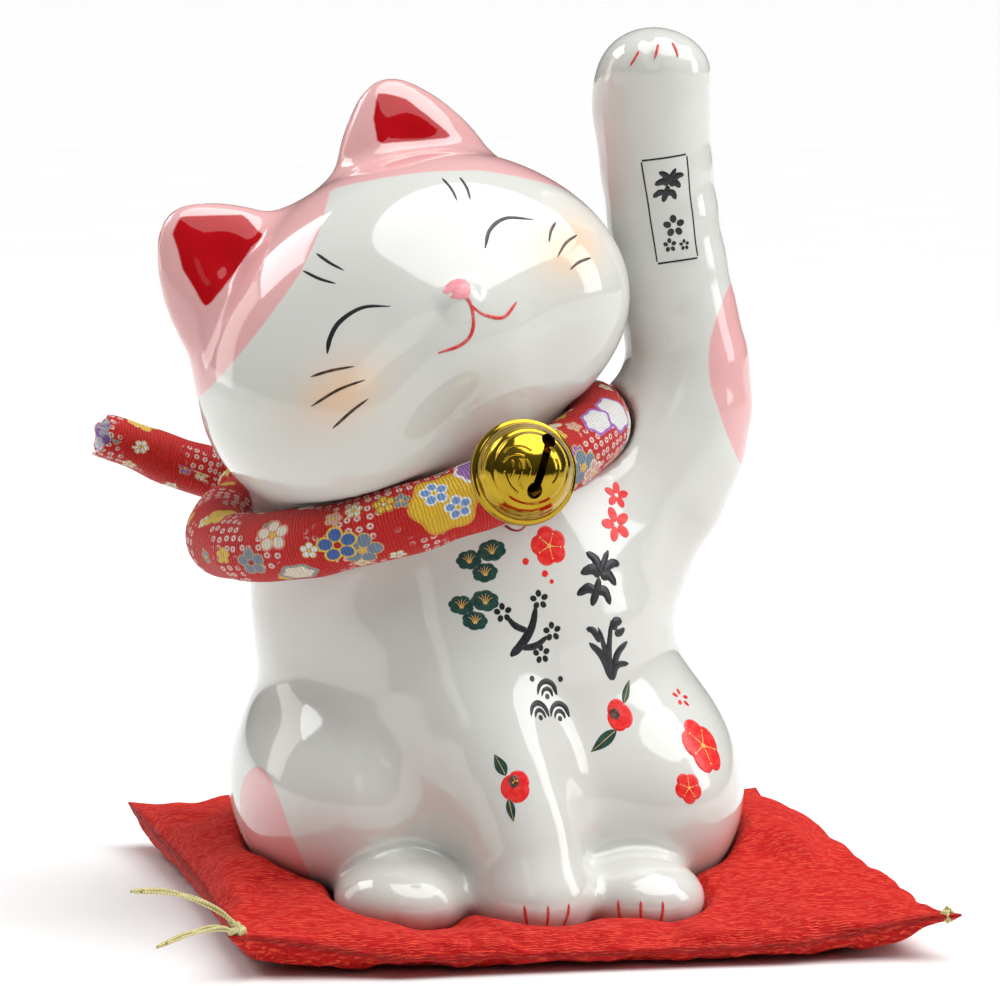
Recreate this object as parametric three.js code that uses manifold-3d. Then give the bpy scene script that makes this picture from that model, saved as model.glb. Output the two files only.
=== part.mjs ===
// A glazed ceramic beckoning cat on a stuffed square cushion, with a brocade collar and a
// jingle bell. Millimetres, +Z up, the cat faces -Y and raises its left arm (+X side).
// The origin is on the cushion's underside, at the middle of the cushion.

import * as THREE from 'three';
import { mergeVertices } from 'three/addons/utils/BufferGeometryUtils.js';
import Module from 'manifold-3d';

const wasm = await Module();
wasm.setup();

// ---------------------------------------------------------------- driving dimensions

const GAP = 0.3;                       // clearance kept between touching pieces

const CUSHION_HALF = 90;               // corner to middle, along X and along Y
const CUSHION_PULL_IN = 4;             // how far each side pulls in between its corners
const SEAM_HEIGHT = 12;                // height of the corner tips and the side seam
const PILLOW_RISE = 9;                 // crown of the stuffed rim above the seam
const FABRIC = 0.7;                    // thickness of the cushion's cloth
const FLAT_SHARE = 0.05;               // how early the underside turns up from its flat middle
const UNDER_HOLLOW = 0.3;              // lift of the underside between its four stuffed corners
const PAD_CELL = 4;                    // grid line, from the middle, of the stuffed corners
const PAD_REACH = 0.25;                // how far each stuffed corner spreads, in shares of a side
const SEAT_Z = 4.3;                    // top of the cloth squashed under the cat
const CELLS = 14;                      // grid of each cushion layer
const SEAT_CENTRE = [-10, -6.5];
const SEAT_HALF = [71, 73];            // hollow that the cat sinks into

const BASE_Z = SEAT_Z + GAP;           // flat unglazed foot of the cat
const WALL = 4.5;                      // thickness of the slip-cast ceramic
const DRAIN_RADIUS = 7;                // casting hole in the foot
const DRAIN_PLACE = [-9, 4];

// The masses that the cat is built up from. A ball is [centre, radii], and a limb is a list
// of stations [x, y, z, radius].
const HIPS = [[-9, 4, 33], [66, 58, 42]];
const TORSO = [[-11, 0, 34, 55], [-14, -2, 60, 54], [-17, -4, 82, 51], [-26, -7, 100, 45],
  [-33, -9, 118, 40.5]];
const TORSO_DEPTH = 0.89;              // front to back, as a share of the width
const SHOULDER = [[-46, -6, 80], [25, 32, 30]];
const FRONT_LEG = [[-34, -22, 84, 25], [-26, -40, 58, 21], [-15, -53, 34, 16.5], [-10, -61, 15, 14]];
const FRONT_PAW = [[-10, -62, 12.5], [15.5, 15, 11.5]];
const HAUNCHES = [[[-50, -15, 34], [27, 42, 31]], [[29, -13, 31], [25, 40, 29]]];
const HIND_FEET = [[[-42, -54, 12], [17, 19, 11]], [[19, -57, 11.5], [16, 18, 10.5]]];
const TAIL = [[-6, 46, 22, 9], [-1, 60, 33, 9], [3, 65, 46, 7.5]];
const ARM = [[-4, -2, 92, 24], [20, -3, 102, 25], [36, -4, 120, 20.5], [42.3, -5, 138, 15.6],
  [38.5, -5, 160, 14], [34, -5, 184, 13.7], [30.8, -6, 206, 13.9], [30, -7, 214.5, 14]];
const RAISED_PAW = [[30.3, -13, 218.5], [13.3, 11.5, 10]];
const TORSO_HOLLOW = [[-13, -1, 50, 47], [-18, -4, 80, 44], [-26, -6, 100, 33], [-33, -8, 120, 24]];
const ARM_HOLLOW = [[2, -3, 96, 18], [22, -4, 104, 18], [36, -4, 121, 14.5], [42, -5, 138, 10.5],
  [38.5, -5, 160, 9], [34, -5, 184, 8.8], [31, -6, 206, 8.8]];

const HEAD_CENTRE = new THREE.Vector3(-35.6, -12, 150);
const HEAD_RADII = [57, 47, 43];
const HEAD_YAW = 6.5;                  // degrees, towards the cat's left
const HEAD_PITCH = -15;                // chin up
const HEAD_ROLL = -31;                 // top of the head leans to the cat's right
// Around the middle of the head, before it is turned:
const MUZZLE = [[0, -37, -6], [21, 13, 14]];
const EAR = [[24, 4, 20, 25], [29, 3, 36, 17.5], [32.5, 2, 50.5, 6.5]];
const EAR_DEPTH = 0.52;
const EAR_HOLLOW = [[29.5, -13, 40], [9, 8, 11]];

const COLLAR_CENTRE = new THREE.Vector3(-32.5, -8, 113);
const COLLAR_RADII = [51, 46];         // of the tube's centre line
const COLLAR_ROLL = 18;                // degrees, the cat's left side is higher
const COLLAR_PITCH = 3;                // the nape is higher
const COLLAR_TUBE = 9;                 // radius of the padded sleeve
const COLLAR_CLOTH = 1;
const COLLAR_OPENING = 8;              // degrees left open, inside the knot
const COLLAR_STEPS = 26;
const KNOT_ANGLE = 130;                // where the ends are tied, from the +X side
const KNOT_RADII = [12, 10.5, 12];
const COLLAR_TAIL = 7.6;               // radius of the two free ends
// Each free end starts this far from the knot's middle, and runs through these points.
const RIGHT_TAIL = [[-2, 8, 4], [-74, 40, 108.5], [-88, 41.5, 113], [-105, 40, 119.5]];
const BACK_TAIL = [[-1, 7.5, -11], [-55, 47, 84], [-45, 55, 74], [-41, 59, 60]];

const BELL_RADIUS = 12.2;
const BELL_WALL = 0.8;
const BELL_LIP = 13.2;                 // radius of the crimped rim
const BELL_ANGLE = -72;                // where the bell hangs on the collar
const BELL_AXIS = new THREE.Vector3(-0.02, -0.97, 0.24).normalize();
const SLOT_HALF_LENGTH = 8.4;
const SLOT_WIDTH = 2.2;
const SLOT_EYE = 2.9;                  // radius of the holes that end the slot
const SLOT_TURN = 22;                  // degrees from upright
const LOOP_RADIUS = 2.1;
const LOOP_WIRE = 0.5;
const TIE_WIRE = 0.5;
const PELLET_RADIUS = 3.1;

const TASSEL_RADIUS = 1.1;             // of one bundle of cotton strands
const KNOT_RADIUS = 1.5;
const KNOT_STAND_OFF = 1.5;            // from the corner tip, along X and along Y

const CERAMIC = { color: 0xf2f1ec, roughness: 0.08, metalness: 0 };
const BROCADE = { color: 0xb3120e, roughness: 0.7, metalness: 0 };
const WADDING = { color: 0xefe9dc, roughness: 1, metalness: 0 };
const GOLD = { color: 0xd9a514, roughness: 0.12, metalness: 1 };
const STEEL = { color: 0x9a9a98, roughness: 0.3, metalness: 1 };
const CREPE = { color: 0xc4170f, roughness: 0.8, metalness: 0 };
const COTTON = { color: 0xd8d48a, roughness: 0.9, metalness: 0 };

// ---------------------------------------------------------------- helpers

const radians = THREE.MathUtils.degToRad;
const clamp01 = (value) => Math.min(1, Math.max(0, value));
const smooth = (value) => clamp01(value) ** 2 * (3 - 2 * clamp01(value));

function signedVolume(points, triangles) {
  const corner = (index) => new THREE.Vector3().fromArray(points, 3 * triangles[index]);
  let volume = 0;
  for (let i = 0; i < triangles.length; i += 3) {
    volume += corner(i).dot(corner(i + 1).cross(corner(i + 2))) / 6;
  }
  return volume;
}

// A closed mesh as a solid, turned so that its faces point out.
function solidOf(geometry) {
  geometry.deleteAttribute('normal');
  geometry.deleteAttribute('uv');
  const merged = mergeVertices(geometry, 1e-4);
  const vertProperties = new Float32Array(merged.attributes.position.array);
  const triVerts = new Uint32Array(merged.index.array);
  if (signedVolume(vertProperties, triVerts) < 0) triVerts.reverse();
  return new wasm.Manifold(new wasm.Mesh({ numProp: 3, vertProperties, triVerts }));
}

function geometryOf(solid) {
  const mesh = solid.getMesh();
  const geometry = new THREE.BufferGeometry();
  geometry.setAttribute('position', new THREE.BufferAttribute(mesh.vertProperties, 3));
  geometry.setIndex(new THREE.BufferAttribute(mesh.triVerts, 1));
  return geometry;
}

function unite(solids) {
  return solids.reduce((whole, solid) => whole.add(solid));
}

function ellipsoid(centre, radii, across = 16, down = 11) {
  const shape = new THREE.SphereGeometry(1, across, down);
  shape.rotateX(Math.PI / 2);
  shape.scale(...radii);
  shape.translate(...centre);
  return shape;
}

// A limb is a ball drawn out along a curve: stations hold [x, y, z, radius].
function limb(stations, depth = 1, across = 16, down = 16) {
  const curve = new THREE.CatmullRomCurve3(stations.map(([x, y, z]) => new THREE.Vector3(x, y, z)));
  const radii = stations.map((station) => station[3]);
  const shape = new THREE.SphereGeometry(1, across, down);
  const points = shape.attributes.position;
  const first = radii[0];
  const last = radii[radii.length - 1];
  const length = curve.getLength();
  const whole = length + first + last;
  for (let i = 0; i < points.count; i += 1) {
    const polar = Math.acos(THREE.MathUtils.clamp(-points.getY(i), -1, 1)) / Math.PI;
    const along = polar * whole - first;
    const part = clamp01(along / length);
    const slot = part * (radii.length - 1);
    const low = Math.min(Math.floor(slot), radii.length - 2);
    let radius = THREE.MathUtils.lerp(radii[low], radii[low + 1], slot - low);
    const over = along < 0 ? -along / first : Math.max(0, along - length) / last;
    radius *= Math.sqrt(Math.max(0, 1 - over * over));
    const centre = curve.getPoint(part);
    const tangent = curve.getTangent(part);
    centre.addScaledVector(tangent, along < 0 ? along : Math.max(0, along - length));
    const side = new THREE.Vector3(0, 1, 0).cross(tangent).normalize();
    const front = tangent.clone().cross(side);
    const angle = Math.atan2(points.getZ(i), points.getX(i));
    centre.addScaledVector(side, radius * Math.cos(angle));
    centre.addScaledVector(front, radius * depth * Math.sin(angle));
    const pole = Math.abs(points.getY(i)) > 1 - 1e-6;
    if (pole) {
      centre.copy(curve.getPoint(points.getY(i) < 0 ? 0 : 1));
      const end = points.getY(i) < 0 ? -first : last;
      centre.addScaledVector(curve.getTangent(points.getY(i) < 0 ? 0 : 1), end);
    }
    points.setXYZ(i, centre.x, centre.y, centre.z);
  }
  return shape;
}

function ring(radius) {
  const shape = new THREE.Shape();
  shape.absarc(0, 0, radius, 0, 2 * Math.PI, false);
  return shape;
}

function tube(curve, radius, steps, sides, hollow = 0) {
  const shape = ring(radius);
  if (hollow) {
    const bore = new THREE.Path();
    bore.absarc(0, 0, hollow, 0, 2 * Math.PI, true);
    shape.holes.push(bore);
  }
  const options = { steps, curveSegments: sides, extrudePath: curve, bevelEnabled: false };
  return new THREE.ExtrudeGeometry(shape, options);
}

function curveThrough(points) {
  return new THREE.CatmullRomCurve3(points.map((point) => new THREE.Vector3(...point)));
}

// ---------------------------------------------------------------- head and collar frames

const headTurn = new THREE.Matrix4()
  .makeRotationZ(radians(HEAD_YAW))
  .multiply(new THREE.Matrix4().makeRotationX(radians(HEAD_PITCH)))
  .multiply(new THREE.Matrix4().makeRotationY(radians(HEAD_ROLL)));

// A mesh made around the middle of the head, as a solid in its place on the cat.
function inHead(geometry) {
  geometry.applyMatrix4(headTurn);
  geometry.translate(...HEAD_CENTRE.toArray());
  return solidOf(geometry);
}

const rollAngle = radians(COLLAR_ROLL);
const pitchAngle = radians(COLLAR_PITCH);
const collarAcross = new THREE.Vector3(Math.cos(rollAngle), 0, Math.sin(rollAngle));
const collarBack = new THREE.Vector3(0, Math.cos(pitchAngle), Math.sin(pitchAngle));

function collarPoint(degrees) {
  const point = COLLAR_CENTRE.clone();
  point.addScaledVector(collarAcross, COLLAR_RADII[0] * Math.cos(radians(degrees)));
  point.addScaledVector(collarBack, COLLAR_RADII[1] * Math.sin(radians(degrees)));
  return point;
}

function collarTangent(degrees) {
  return collarPoint(degrees + 1).sub(collarPoint(degrees - 1)).normalize();
}

class CollarLine extends THREE.Curve {
  constructor(from, sweep) {
    super();
    this.from = from;
    this.sweep = sweep;
  }

  getPoint(part, target = new THREE.Vector3()) {
    return target.copy(collarPoint(this.from + part * this.sweep));
  }
}

// ---------------------------------------------------------------- the ceramic cat

function ball([centre, radii], across = 16, down = 11) {
  return ellipsoid(centre, radii, across, down);
}

function bodySkin() {
  const pieces = [
    ball(HIPS, 24, 16),
    limb(TORSO, TORSO_DEPTH, 20, 14),
    ball(SHOULDER),
    limb(FRONT_LEG, 1, 14, 14),
    ball(FRONT_PAW, 14, 10),
    ...HAUNCHES.map((haunch) => ball(haunch)),
    ...HIND_FEET.map((foot) => ball(foot, 14, 10)),
    limb(TAIL, 1, 10, 10),
    limb(ARM, 1, 14, 22),
    ball(RAISED_PAW, 14, 10),
  ];
  return unite(pieces.map(solidOf));
}

function ear(side) {
  const shell = limb(EAR.map(([x, ...rest]) => [side * x, ...rest]), EAR_DEPTH, 14, 12);
  const [[x, y, z], radii] = EAR_HOLLOW;
  return inHead(shell).subtract(inHead(ball([[side * x, y, z], radii], 10, 8)));
}

function headSkin() {
  const skull = ball([[0, 0, 0], HEAD_RADII], 24, 16);
  return unite([inHead(skull), inHead(ball(MUZZLE, 14, 10)), ear(-1), ear(1)]);
}

function catHollow() {
  const [[x, y, z], radii] = HIPS;
  const skull = ball([[0, 0, 0], HEAD_RADII.map((radius) => radius - WALL)], 16, 12);
  const pieces = [
    ball([[x, y, z + WALL / 2], radii.map((radius) => radius - WALL)], 16, 12),
    limb(TORSO_HOLLOW, 0.86, 14, 12),
    limb(ARM_HOLLOW, 1, 10, 16),
  ];
  return unite([...pieces.map(solidOf), inHead(skull)]);
}

function allBelow(height) {
  const size = 400;
  const block = new THREE.BoxGeometry(size, size, size);
  block.translate(0, 0, height - size / 2);
  return solidOf(block);
}

function ceramicCat(neighbours) {
  const drain = new THREE.CylinderGeometry(DRAIN_RADIUS, DRAIN_RADIUS, 40, 20);
  drain.rotateX(Math.PI / 2);
  drain.translate(...DRAIN_PLACE, BASE_Z);
  const hollow = catHollow().subtract(allBelow(BASE_Z + WALL));
  const whole = unite([bodySkin(), headSkin()]).subtract(allBelow(BASE_Z));
  const cat = whole.subtract(hollow).subtract(solidOf(drain));
  return neighbours.reduce((rest, neighbour) => rest.subtract(neighbour), cat);
}

// ---------------------------------------------------------------- the collar

const OPEN_COLLAR = new CollarLine(KNOT_ANGLE + COLLAR_OPENING / 2, 360 - COLLAR_OPENING);
const PADDING_TUBE = (COLLAR_TUBE - COLLAR_CLOTH) * 0.93;

function knotBall(extra) {
  const radii = KNOT_RADII.map((radius) => radius + extra);
  return ellipsoid(collarPoint(KNOT_ANGLE).toArray(), radii, 12, 9);
}

// The sleeve is a sewn tube, open at both ends inside the knot, and the wadding fills it.
function collarSleeve() {
  const sleeve = solidOf(tube(OPEN_COLLAR, COLLAR_TUBE, COLLAR_STEPS, 5, COLLAR_TUBE - COLLAR_CLOTH));
  return sleeve.subtract(solidOf(knotBall(GAP)));
}

function collarPadding() {
  const padding = solidOf(tube(OPEN_COLLAR, PADDING_TUBE, COLLAR_STEPS, 4));
  return padding.subtract(solidOf(knotBall(GAP)));
}

function collarTail([start, ...rest]) {
  const root = collarPoint(KNOT_ANGLE).add(new THREE.Vector3(...start));
  const line = curveThrough([root.toArray(), ...rest]);
  const tail = solidOf(tube(line, COLLAR_TAIL, 8, 5, COLLAR_TAIL - COLLAR_CLOTH));
  return tail.subtract(solidOf(knotBall(GAP)));
}

// ---------------------------------------------------------------- the bell

const collarAtBell = collarPoint(BELL_ANGLE);
const loopReach = COLLAR_TUBE + GAP + LOOP_RADIUS + LOOP_WIRE;
const bellReach = loopReach + LOOP_RADIUS + BELL_RADIUS;
const bellCentre = collarAtBell.clone().addScaledVector(BELL_AXIS, bellReach);
const bellTurn = new THREE.Matrix4().compose(
  bellCentre,
  new THREE.Quaternion().setFromUnitVectors(new THREE.Vector3(0, -1, 0), BELL_AXIS),
  new THREE.Vector3(1, 1, 1),
);

// The bell's own frame: -Y points out of its slotted face.
function bellShell(front) {
  const profile = [];
  const steps = 5;
  const start = GAP / 2;
  for (let i = 0; i <= steps; i += 1) {
    const angle = (Math.PI / 2) * (1 - i / steps);
    profile.push(new THREE.Vector2(BELL_RADIUS * Math.cos(angle), start + BELL_RADIUS * Math.sin(angle)));
  }
  profile.pop();
  profile.push(new THREE.Vector2(BELL_RADIUS + 0.2, start + 1.4));
  profile.push(new THREE.Vector2(BELL_LIP, start + 1.2));
  profile.push(new THREE.Vector2(BELL_LIP, start));
  const inner = BELL_RADIUS - BELL_WALL;
  for (let i = steps; i >= 0; i -= 1) {
    const angle = (Math.PI / 2) * (1 - i / steps);
    profile.push(new THREE.Vector2(inner * Math.cos(angle), start + inner * Math.sin(angle)));
  }
  const shell = new THREE.LatheGeometry(profile.reverse(), 20);
  if (front) shell.rotateX(Math.PI);
  return shell;
}

function slotCutter() {
  const bar = new THREE.BoxGeometry(SLOT_WIDTH, 30, 2 * SLOT_HALF_LENGTH);
  bar.translate(0, -18, 0);
  const cutters = [bar];
  [-1, 1].forEach((end) => {
    const eye = new THREE.CylinderGeometry(SLOT_EYE, SLOT_EYE, 30, 12);
    eye.translate(0, -18, end * SLOT_HALF_LENGTH);
    cutters.push(eye);
  });
  const turned = cutters.map((cutter) => {
    cutter.rotateY(radians(SLOT_TURN));
    return solidOf(cutter);
  });
  return unite(turned);
}

function bellFrontShell() {
  return solidOf(bellShell(true)).subtract(slotCutter()).transform(bellTurn.toArray());
}

function bellBackShell() {
  return solidOf(bellShell(false)).transform(bellTurn.toArray());
}

function bellLoop() {
  const loop = new THREE.TorusGeometry(LOOP_RADIUS, LOOP_WIRE, 8, 16);
  loop.rotateY(Math.PI / 2);
  loop.translate(0, bellReach - loopReach, 0);
  const room = BELL_RADIUS + GAP;
  const body = solidOf(ellipsoid([0, 0, 0], [room, room, room]));
  return solidOf(loop).subtract(body).transform(bellTurn.toArray());
}

const PELLET_DROP = BELL_RADIUS - BELL_WALL - PELLET_RADIUS - 3 * GAP;

function bellPellet() {
  const pellet = new THREE.SphereGeometry(PELLET_RADIUS, 10, 8);
  return pellet.translate(bellCentre.x, bellCentre.y, bellCentre.z - PELLET_DROP);
}

// The thread that ties the bell on: a ring round the collar, through the bell's loop.
function bellTie(extra = 0) {
  const tie = new THREE.TorusGeometry(loopReach, TIE_WIRE + extra, 6, 20);
  const axis = new THREE.Vector3(0, 0, 1);
  const turn = new THREE.Quaternion().setFromUnitVectors(axis, collarTangent(BELL_ANGLE));
  tie.applyQuaternion(turn);
  tie.translate(...collarAtBell.toArray());
  return tie;
}

// ---------------------------------------------------------------- the cushion

function plan(u, v) {
  const halfAcross = CUSHION_HALF - CUSHION_PULL_IN * (1 - v * v);
  const halfAlong = CUSHION_HALF - CUSHION_PULL_IN * (1 - u * u);
  return [u * halfAcross, v * halfAlong];
}

function bulge(u, v, power) {
  return Math.sqrt(Math.max(0, (1 - Math.abs(u) ** power) * (1 - Math.abs(v) ** power)));
}

function topHeight(u, v) {
  const [x, y] = plan(u, v);
  const across = Math.abs((x - SEAT_CENTRE[0]) / SEAT_HALF[0]);
  const along = Math.abs((y - SEAT_CENTRE[1]) / SEAT_HALF[1]);
  const reach = (across ** 3 + along ** 3) ** (1 / 3);
  const rim = SEAM_HEIGHT + PILLOW_RISE * bulge(u, v, 5);
  return THREE.MathUtils.lerp(SEAT_Z, rim, smooth((reach - 1) / 0.16));
}

// Grid lines drawn towards the sides, where the cushion curves most.
function bunched(part) {
  return 0.6 * part + 0.4 * Math.sin((part * Math.PI) / 2);
}

// How near a line is to the middle of a stuffed corner: 1 there, 0 beyond its spread.
function padShare(part) {
  const away = (Math.abs(part) - bunched(PAD_CELL / (CELLS / 2))) / PAD_REACH;
  return Math.max(0, 1 - away * away);
}

// The under panel stands on its four stuffed corners, hollows a hair between them, and turns
// up to meet the top panel along the side seam.
function underHeight(u, v) {
  const out = Math.max(Math.abs(u), Math.abs(v), 1e-6);
  const seam = topHeight(u / out, v / out) - GAP - 2 * FABRIC;
  const turned = Math.max(0, 1 - bulge(u, v, 9) - FLAT_SHARE) / (1 - FLAT_SHARE);
  return seam * turned ** 1.3 + UNDER_HOLLOW * (1 - padShare(u) * padShare(v)) * (1 - turned);
}

// A slab over the cushion's plan, between two height functions of u and v: two sheets with
// the same triangles, and a wall round their edge.
function slab(cells, share, under, over) {
  const sheet = new THREE.PlaneGeometry(2, 2, cells, cells);
  const flat = sheet.attributes.position;
  const faces = Array.from(sheet.index.array);
  const points = [over, under].flatMap((height) => {
    const layer = [];
    for (let i = 0; i < flat.count; i += 1) {
      const u = bunched(share * flat.getX(i));
      const v = bunched(share * flat.getY(i));
      layer.push(...plan(u, v), height(u, v));
    }
    return layer;
  });
  const back = faces.map((_, i) => flat.count + faces[i - (i % 3) + 2 - (i % 3)]);
  const walls = edgeLoop(cells).flatMap((corner, i, loop) => {
    const next = loop[(i + 1) % loop.length];
    return [corner, corner + flat.count, next, next, corner + flat.count, next + flat.count];
  });
  const geometry = new THREE.BufferGeometry();
  geometry.setAttribute('position', new THREE.Float32BufferAttribute(points, 3));
  geometry.setIndex([...faces, ...back, ...walls]);
  return geometryOf(solidOf(geometry));
}

// The outer vertices of a square grid, in order round it.
function edgeLoop(cells) {
  const row = cells + 1;
  const loop = [];
  for (let i = 0; i < cells; i += 1) loop.push(i * row);
  for (let i = 0; i < cells; i += 1) loop.push(cells * row + i);
  for (let i = cells; i > 0; i -= 1) loop.push(i * row + cells);
  for (let i = cells; i > 0; i -= 1) loop.push(i);
  return loop;
}

const topPanel = () => slab(CELLS, 1, (u, v) => topHeight(u, v) - FABRIC, topHeight);
const underPanel = () => slab(CELLS, 1, underHeight, (u, v) => underHeight(u, v) + FABRIC);

function filling() {
  const low = (u, v) => underHeight(u, v) + FABRIC + GAP;
  const high = (u, v) => Math.max(topHeight(u, v) - FABRIC - 2 * GAP, low(u, v) + GAP);
  return slab(CELLS - 2, (CELLS - 2) / CELLS, low, high);
}

// ---------------------------------------------------------------- ties at the near corners

function cornerKnot(sign) {
  const reach = CUSHION_HALF + KNOT_STAND_OFF;
  const radii = [KNOT_RADIUS, KNOT_RADIUS, KNOT_RADIUS];
  return ellipsoid([sign * reach, -reach, SEAM_HEIGHT + 1], radii, 10, 7);
}

const TASSEL_ROUTES = {
  tassel_upper: [[-92.2, -94, 15.6], [-97, -96, 19.6], [-103, -99, 22.9], [-109.3, -102.5, 25.2],
    [-117.6, -107.4, 26.4]],
  tassel_lower: [[-92.4, -95, 13.2], [-96, -99.5, 15.2], [-101, -105, 16], [-106, -110.5, 16.3],
    [-112.9, -117.4, 15.1]],
};

function tassel(name) {
  return tube(curveThrough(TASSEL_ROUTES[name]), TASSEL_RADIUS, 10, 4);
}

// ---------------------------------------------------------------- the assembly

const figurine = new THREE.Group();

function add(name, geometry, finish) {
  const mesh = new THREE.Mesh(geometry, new THREE.MeshStandardMaterial(finish));
  mesh.name = name;
  figurine.add(mesh);
}

const neckGroove = solidOf(tube(OPEN_COLLAR, COLLAR_TUBE + GAP, COLLAR_STEPS, 5));
const cat = ceramicCat([neckGroove, solidOf(knotBall(2 * GAP)), solidOf(bellTie(GAP))]);
add('ceramic_cat', geometryOf(cat), CERAMIC);
add('collar_sleeve', geometryOf(collarSleeve()), BROCADE);
add('collar_padding', geometryOf(collarPadding()), WADDING);
add('collar_knot', knotBall(0), BROCADE);
add('collar_tail_right', geometryOf(collarTail(RIGHT_TAIL)), BROCADE);
add('collar_tail_back', geometryOf(collarTail(BACK_TAIL)), BROCADE);
add('bell_front_shell', geometryOf(bellFrontShell()), GOLD);
add('bell_back_shell', geometryOf(bellBackShell()), GOLD);
add('bell_loop', geometryOf(bellLoop()), GOLD);
add('bell_pellet', bellPellet(), STEEL);
add('bell_tie', bellTie(), BROCADE);
add('cushion_top_panel', topPanel(), CREPE);
add('cushion_under_panel', underPanel(), CREPE);
add('cushion_filling', filling(), WADDING);
add('corner_knot_left', cornerKnot(-1), COTTON);
add('corner_knot_right', cornerKnot(1), COTTON);
Object.keys(TASSEL_ROUTES).forEach((name) => add(name, tassel(name), COTTON));

export default figurine;
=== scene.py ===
"""A glazed ceramic beckoning cat on a crepe cushion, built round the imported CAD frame.

The shapes are worked out in millimetres, in the frame's axes (+Z up, the cat faces -Y), and
scaled to metres when a mesh is made.
"""
import bpy
import math
import numpy as np
from mathutils import Matrix, Vector


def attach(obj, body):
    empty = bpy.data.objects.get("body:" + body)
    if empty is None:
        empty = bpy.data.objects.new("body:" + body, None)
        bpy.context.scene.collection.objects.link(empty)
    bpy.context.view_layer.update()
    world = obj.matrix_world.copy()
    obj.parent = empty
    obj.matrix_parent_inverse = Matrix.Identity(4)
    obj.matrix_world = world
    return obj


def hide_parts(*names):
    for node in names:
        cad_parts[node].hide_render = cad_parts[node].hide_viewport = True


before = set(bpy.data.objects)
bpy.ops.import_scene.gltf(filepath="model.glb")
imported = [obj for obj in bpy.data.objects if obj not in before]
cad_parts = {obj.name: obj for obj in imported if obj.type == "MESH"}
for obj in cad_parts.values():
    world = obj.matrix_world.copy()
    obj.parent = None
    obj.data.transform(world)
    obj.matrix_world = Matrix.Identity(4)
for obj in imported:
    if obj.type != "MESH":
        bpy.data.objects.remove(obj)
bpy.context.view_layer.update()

MM = 0.001

# ------------------------------------------------------------------ camera, light and stage

CAMERA_AZIMUTH, CAMERA_ELEVATION, CAMERA_ROLL = -13.0, 6.5, 1.0
CAMERA_DISTANCE = 1.3
LOOK_AT = Vector((0, 0, 0.110))
FOCAL_WIDTHS = 4.985                   # focal length over the frame's width
CAMERA_SHIFT = (-0.024, -0.009)
SENSOR_WIDTH = 36


def camera():
    azimuth, elevation = math.radians(CAMERA_AZIMUTH), math.radians(CAMERA_ELEVATION)
    back = Vector((math.sin(azimuth) * math.cos(elevation),
                   -math.cos(azimuth) * math.cos(elevation), math.sin(elevation)))
    data = bpy.data.cameras.new("camera")
    data.sensor_width = SENSOR_WIDTH
    data.lens = SENSOR_WIDTH * FOCAL_WIDTHS
    data.shift_x, data.shift_y = CAMERA_SHIFT
    data.clip_end = 20
    obj = bpy.data.objects.new("camera", data)
    roll = Matrix.Rotation(math.radians(CAMERA_ROLL), 4, "Z")
    turn = back.to_track_quat("Z", "Y").to_matrix().to_4x4() @ roll
    obj.matrix_world = Matrix.Translation(LOOK_AT + back * CAMERA_DISTANCE) @ turn
    bpy.context.scene.collection.objects.link(obj)
    bpy.context.scene.camera = obj


def light(name, kind, power, turn, place=(0, 0, 0)):
    data = bpy.data.lights.new(name, kind)
    data.energy = power
    obj = bpy.data.objects.new(name, data)
    obj.matrix_world = Matrix.Translation(place) @ turn.to_matrix().to_4x4()
    bpy.context.scene.collection.objects.link(obj)
    return data


def area_light(name, place, size, power, colour):
    """A softbox that faces the object."""
    towards = LOOK_AT - Vector(place)
    data = light(name, "AREA", power, towards.to_track_quat("-Z", "Y"), place)
    data.shape = "RECTANGLE"
    data.size, data.size_y = size
    data.color = colour


def sun(direction, power, spread):
    data = light("sun", "SUN", power, Vector(direction).to_track_quat("Z", "Y"))
    data.angle = math.radians(spread)


def sky():
    """A dim warm room with a brighter, cooler ceiling."""
    world = bpy.data.worlds.new("studio")
    world.use_nodes = True
    tree = world.node_tree
    direction = tree.nodes.new("ShaderNodeTexCoord").outputs["Generated"]
    split = tree.nodes.new("ShaderNodeSeparateXYZ")
    ramp = tree.nodes.new("ShaderNodeValToRGB")
    tree.links.new(direction, split.inputs[0])
    tree.links.new(split.outputs[2], ramp.inputs[0])
    tree.links.new(ramp.outputs[0], tree.nodes["Background"].inputs["Color"])
    ramp.color_ramp.elements[0].position = 0.0
    ramp.color_ramp.elements[0].color = (0.22, 0.19, 0.15, 1)
    ramp.color_ramp.elements[1].position = 0.75
    ramp.color_ramp.elements[1].color = (0.75, 0.80, 0.84, 1)
    tree.nodes["Background"].inputs["Strength"].default_value = 0.24
    bpy.context.scene.world = world


def studio():
    bpy.context.scene.view_settings.view_transform = "Standard"
    sky()
    sun((0.26, -0.12, 1.0), 3.45, 64)
    area_light("window", (0.9, -0.25, 0.55), (0.35, 0.7), 3.0, (0.95, 0.98, 1.0))
    area_light("front", (-0.35, -1.3, 0.75), (0.3, 0.5), 0.5, (1.0, 0.99, 0.97))
    area_light("left", (-0.85, 0.55, 0.38), (0.3, 0.6), 1.1, (1.0, 0.95, 0.88))
    area_light("back", (-0.7, 0.55, 0.9), (0.6, 0.4), 4.0, (0.95, 0.97, 1.0))
    bpy.ops.mesh.primitive_plane_add(size=120, location=(0, 0, -0.0002))
    floor = bpy.context.object
    floor.name = "floor"
    s = Shader("floor", Roughness=0.9, Specular_IOR_Level=0.2)
    pale = s.mix(s.noise(s.where(), 0.01, 2), (0.82, 0.82, 0.81), (0.86, 0.86, 0.85))
    put_on(floor, s.finish(Base_Color=pale))


# ------------------------------------------------------------------ shape of the cat
# Distance functions over arrays of points, in millimetres. Negative is inside.

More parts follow.
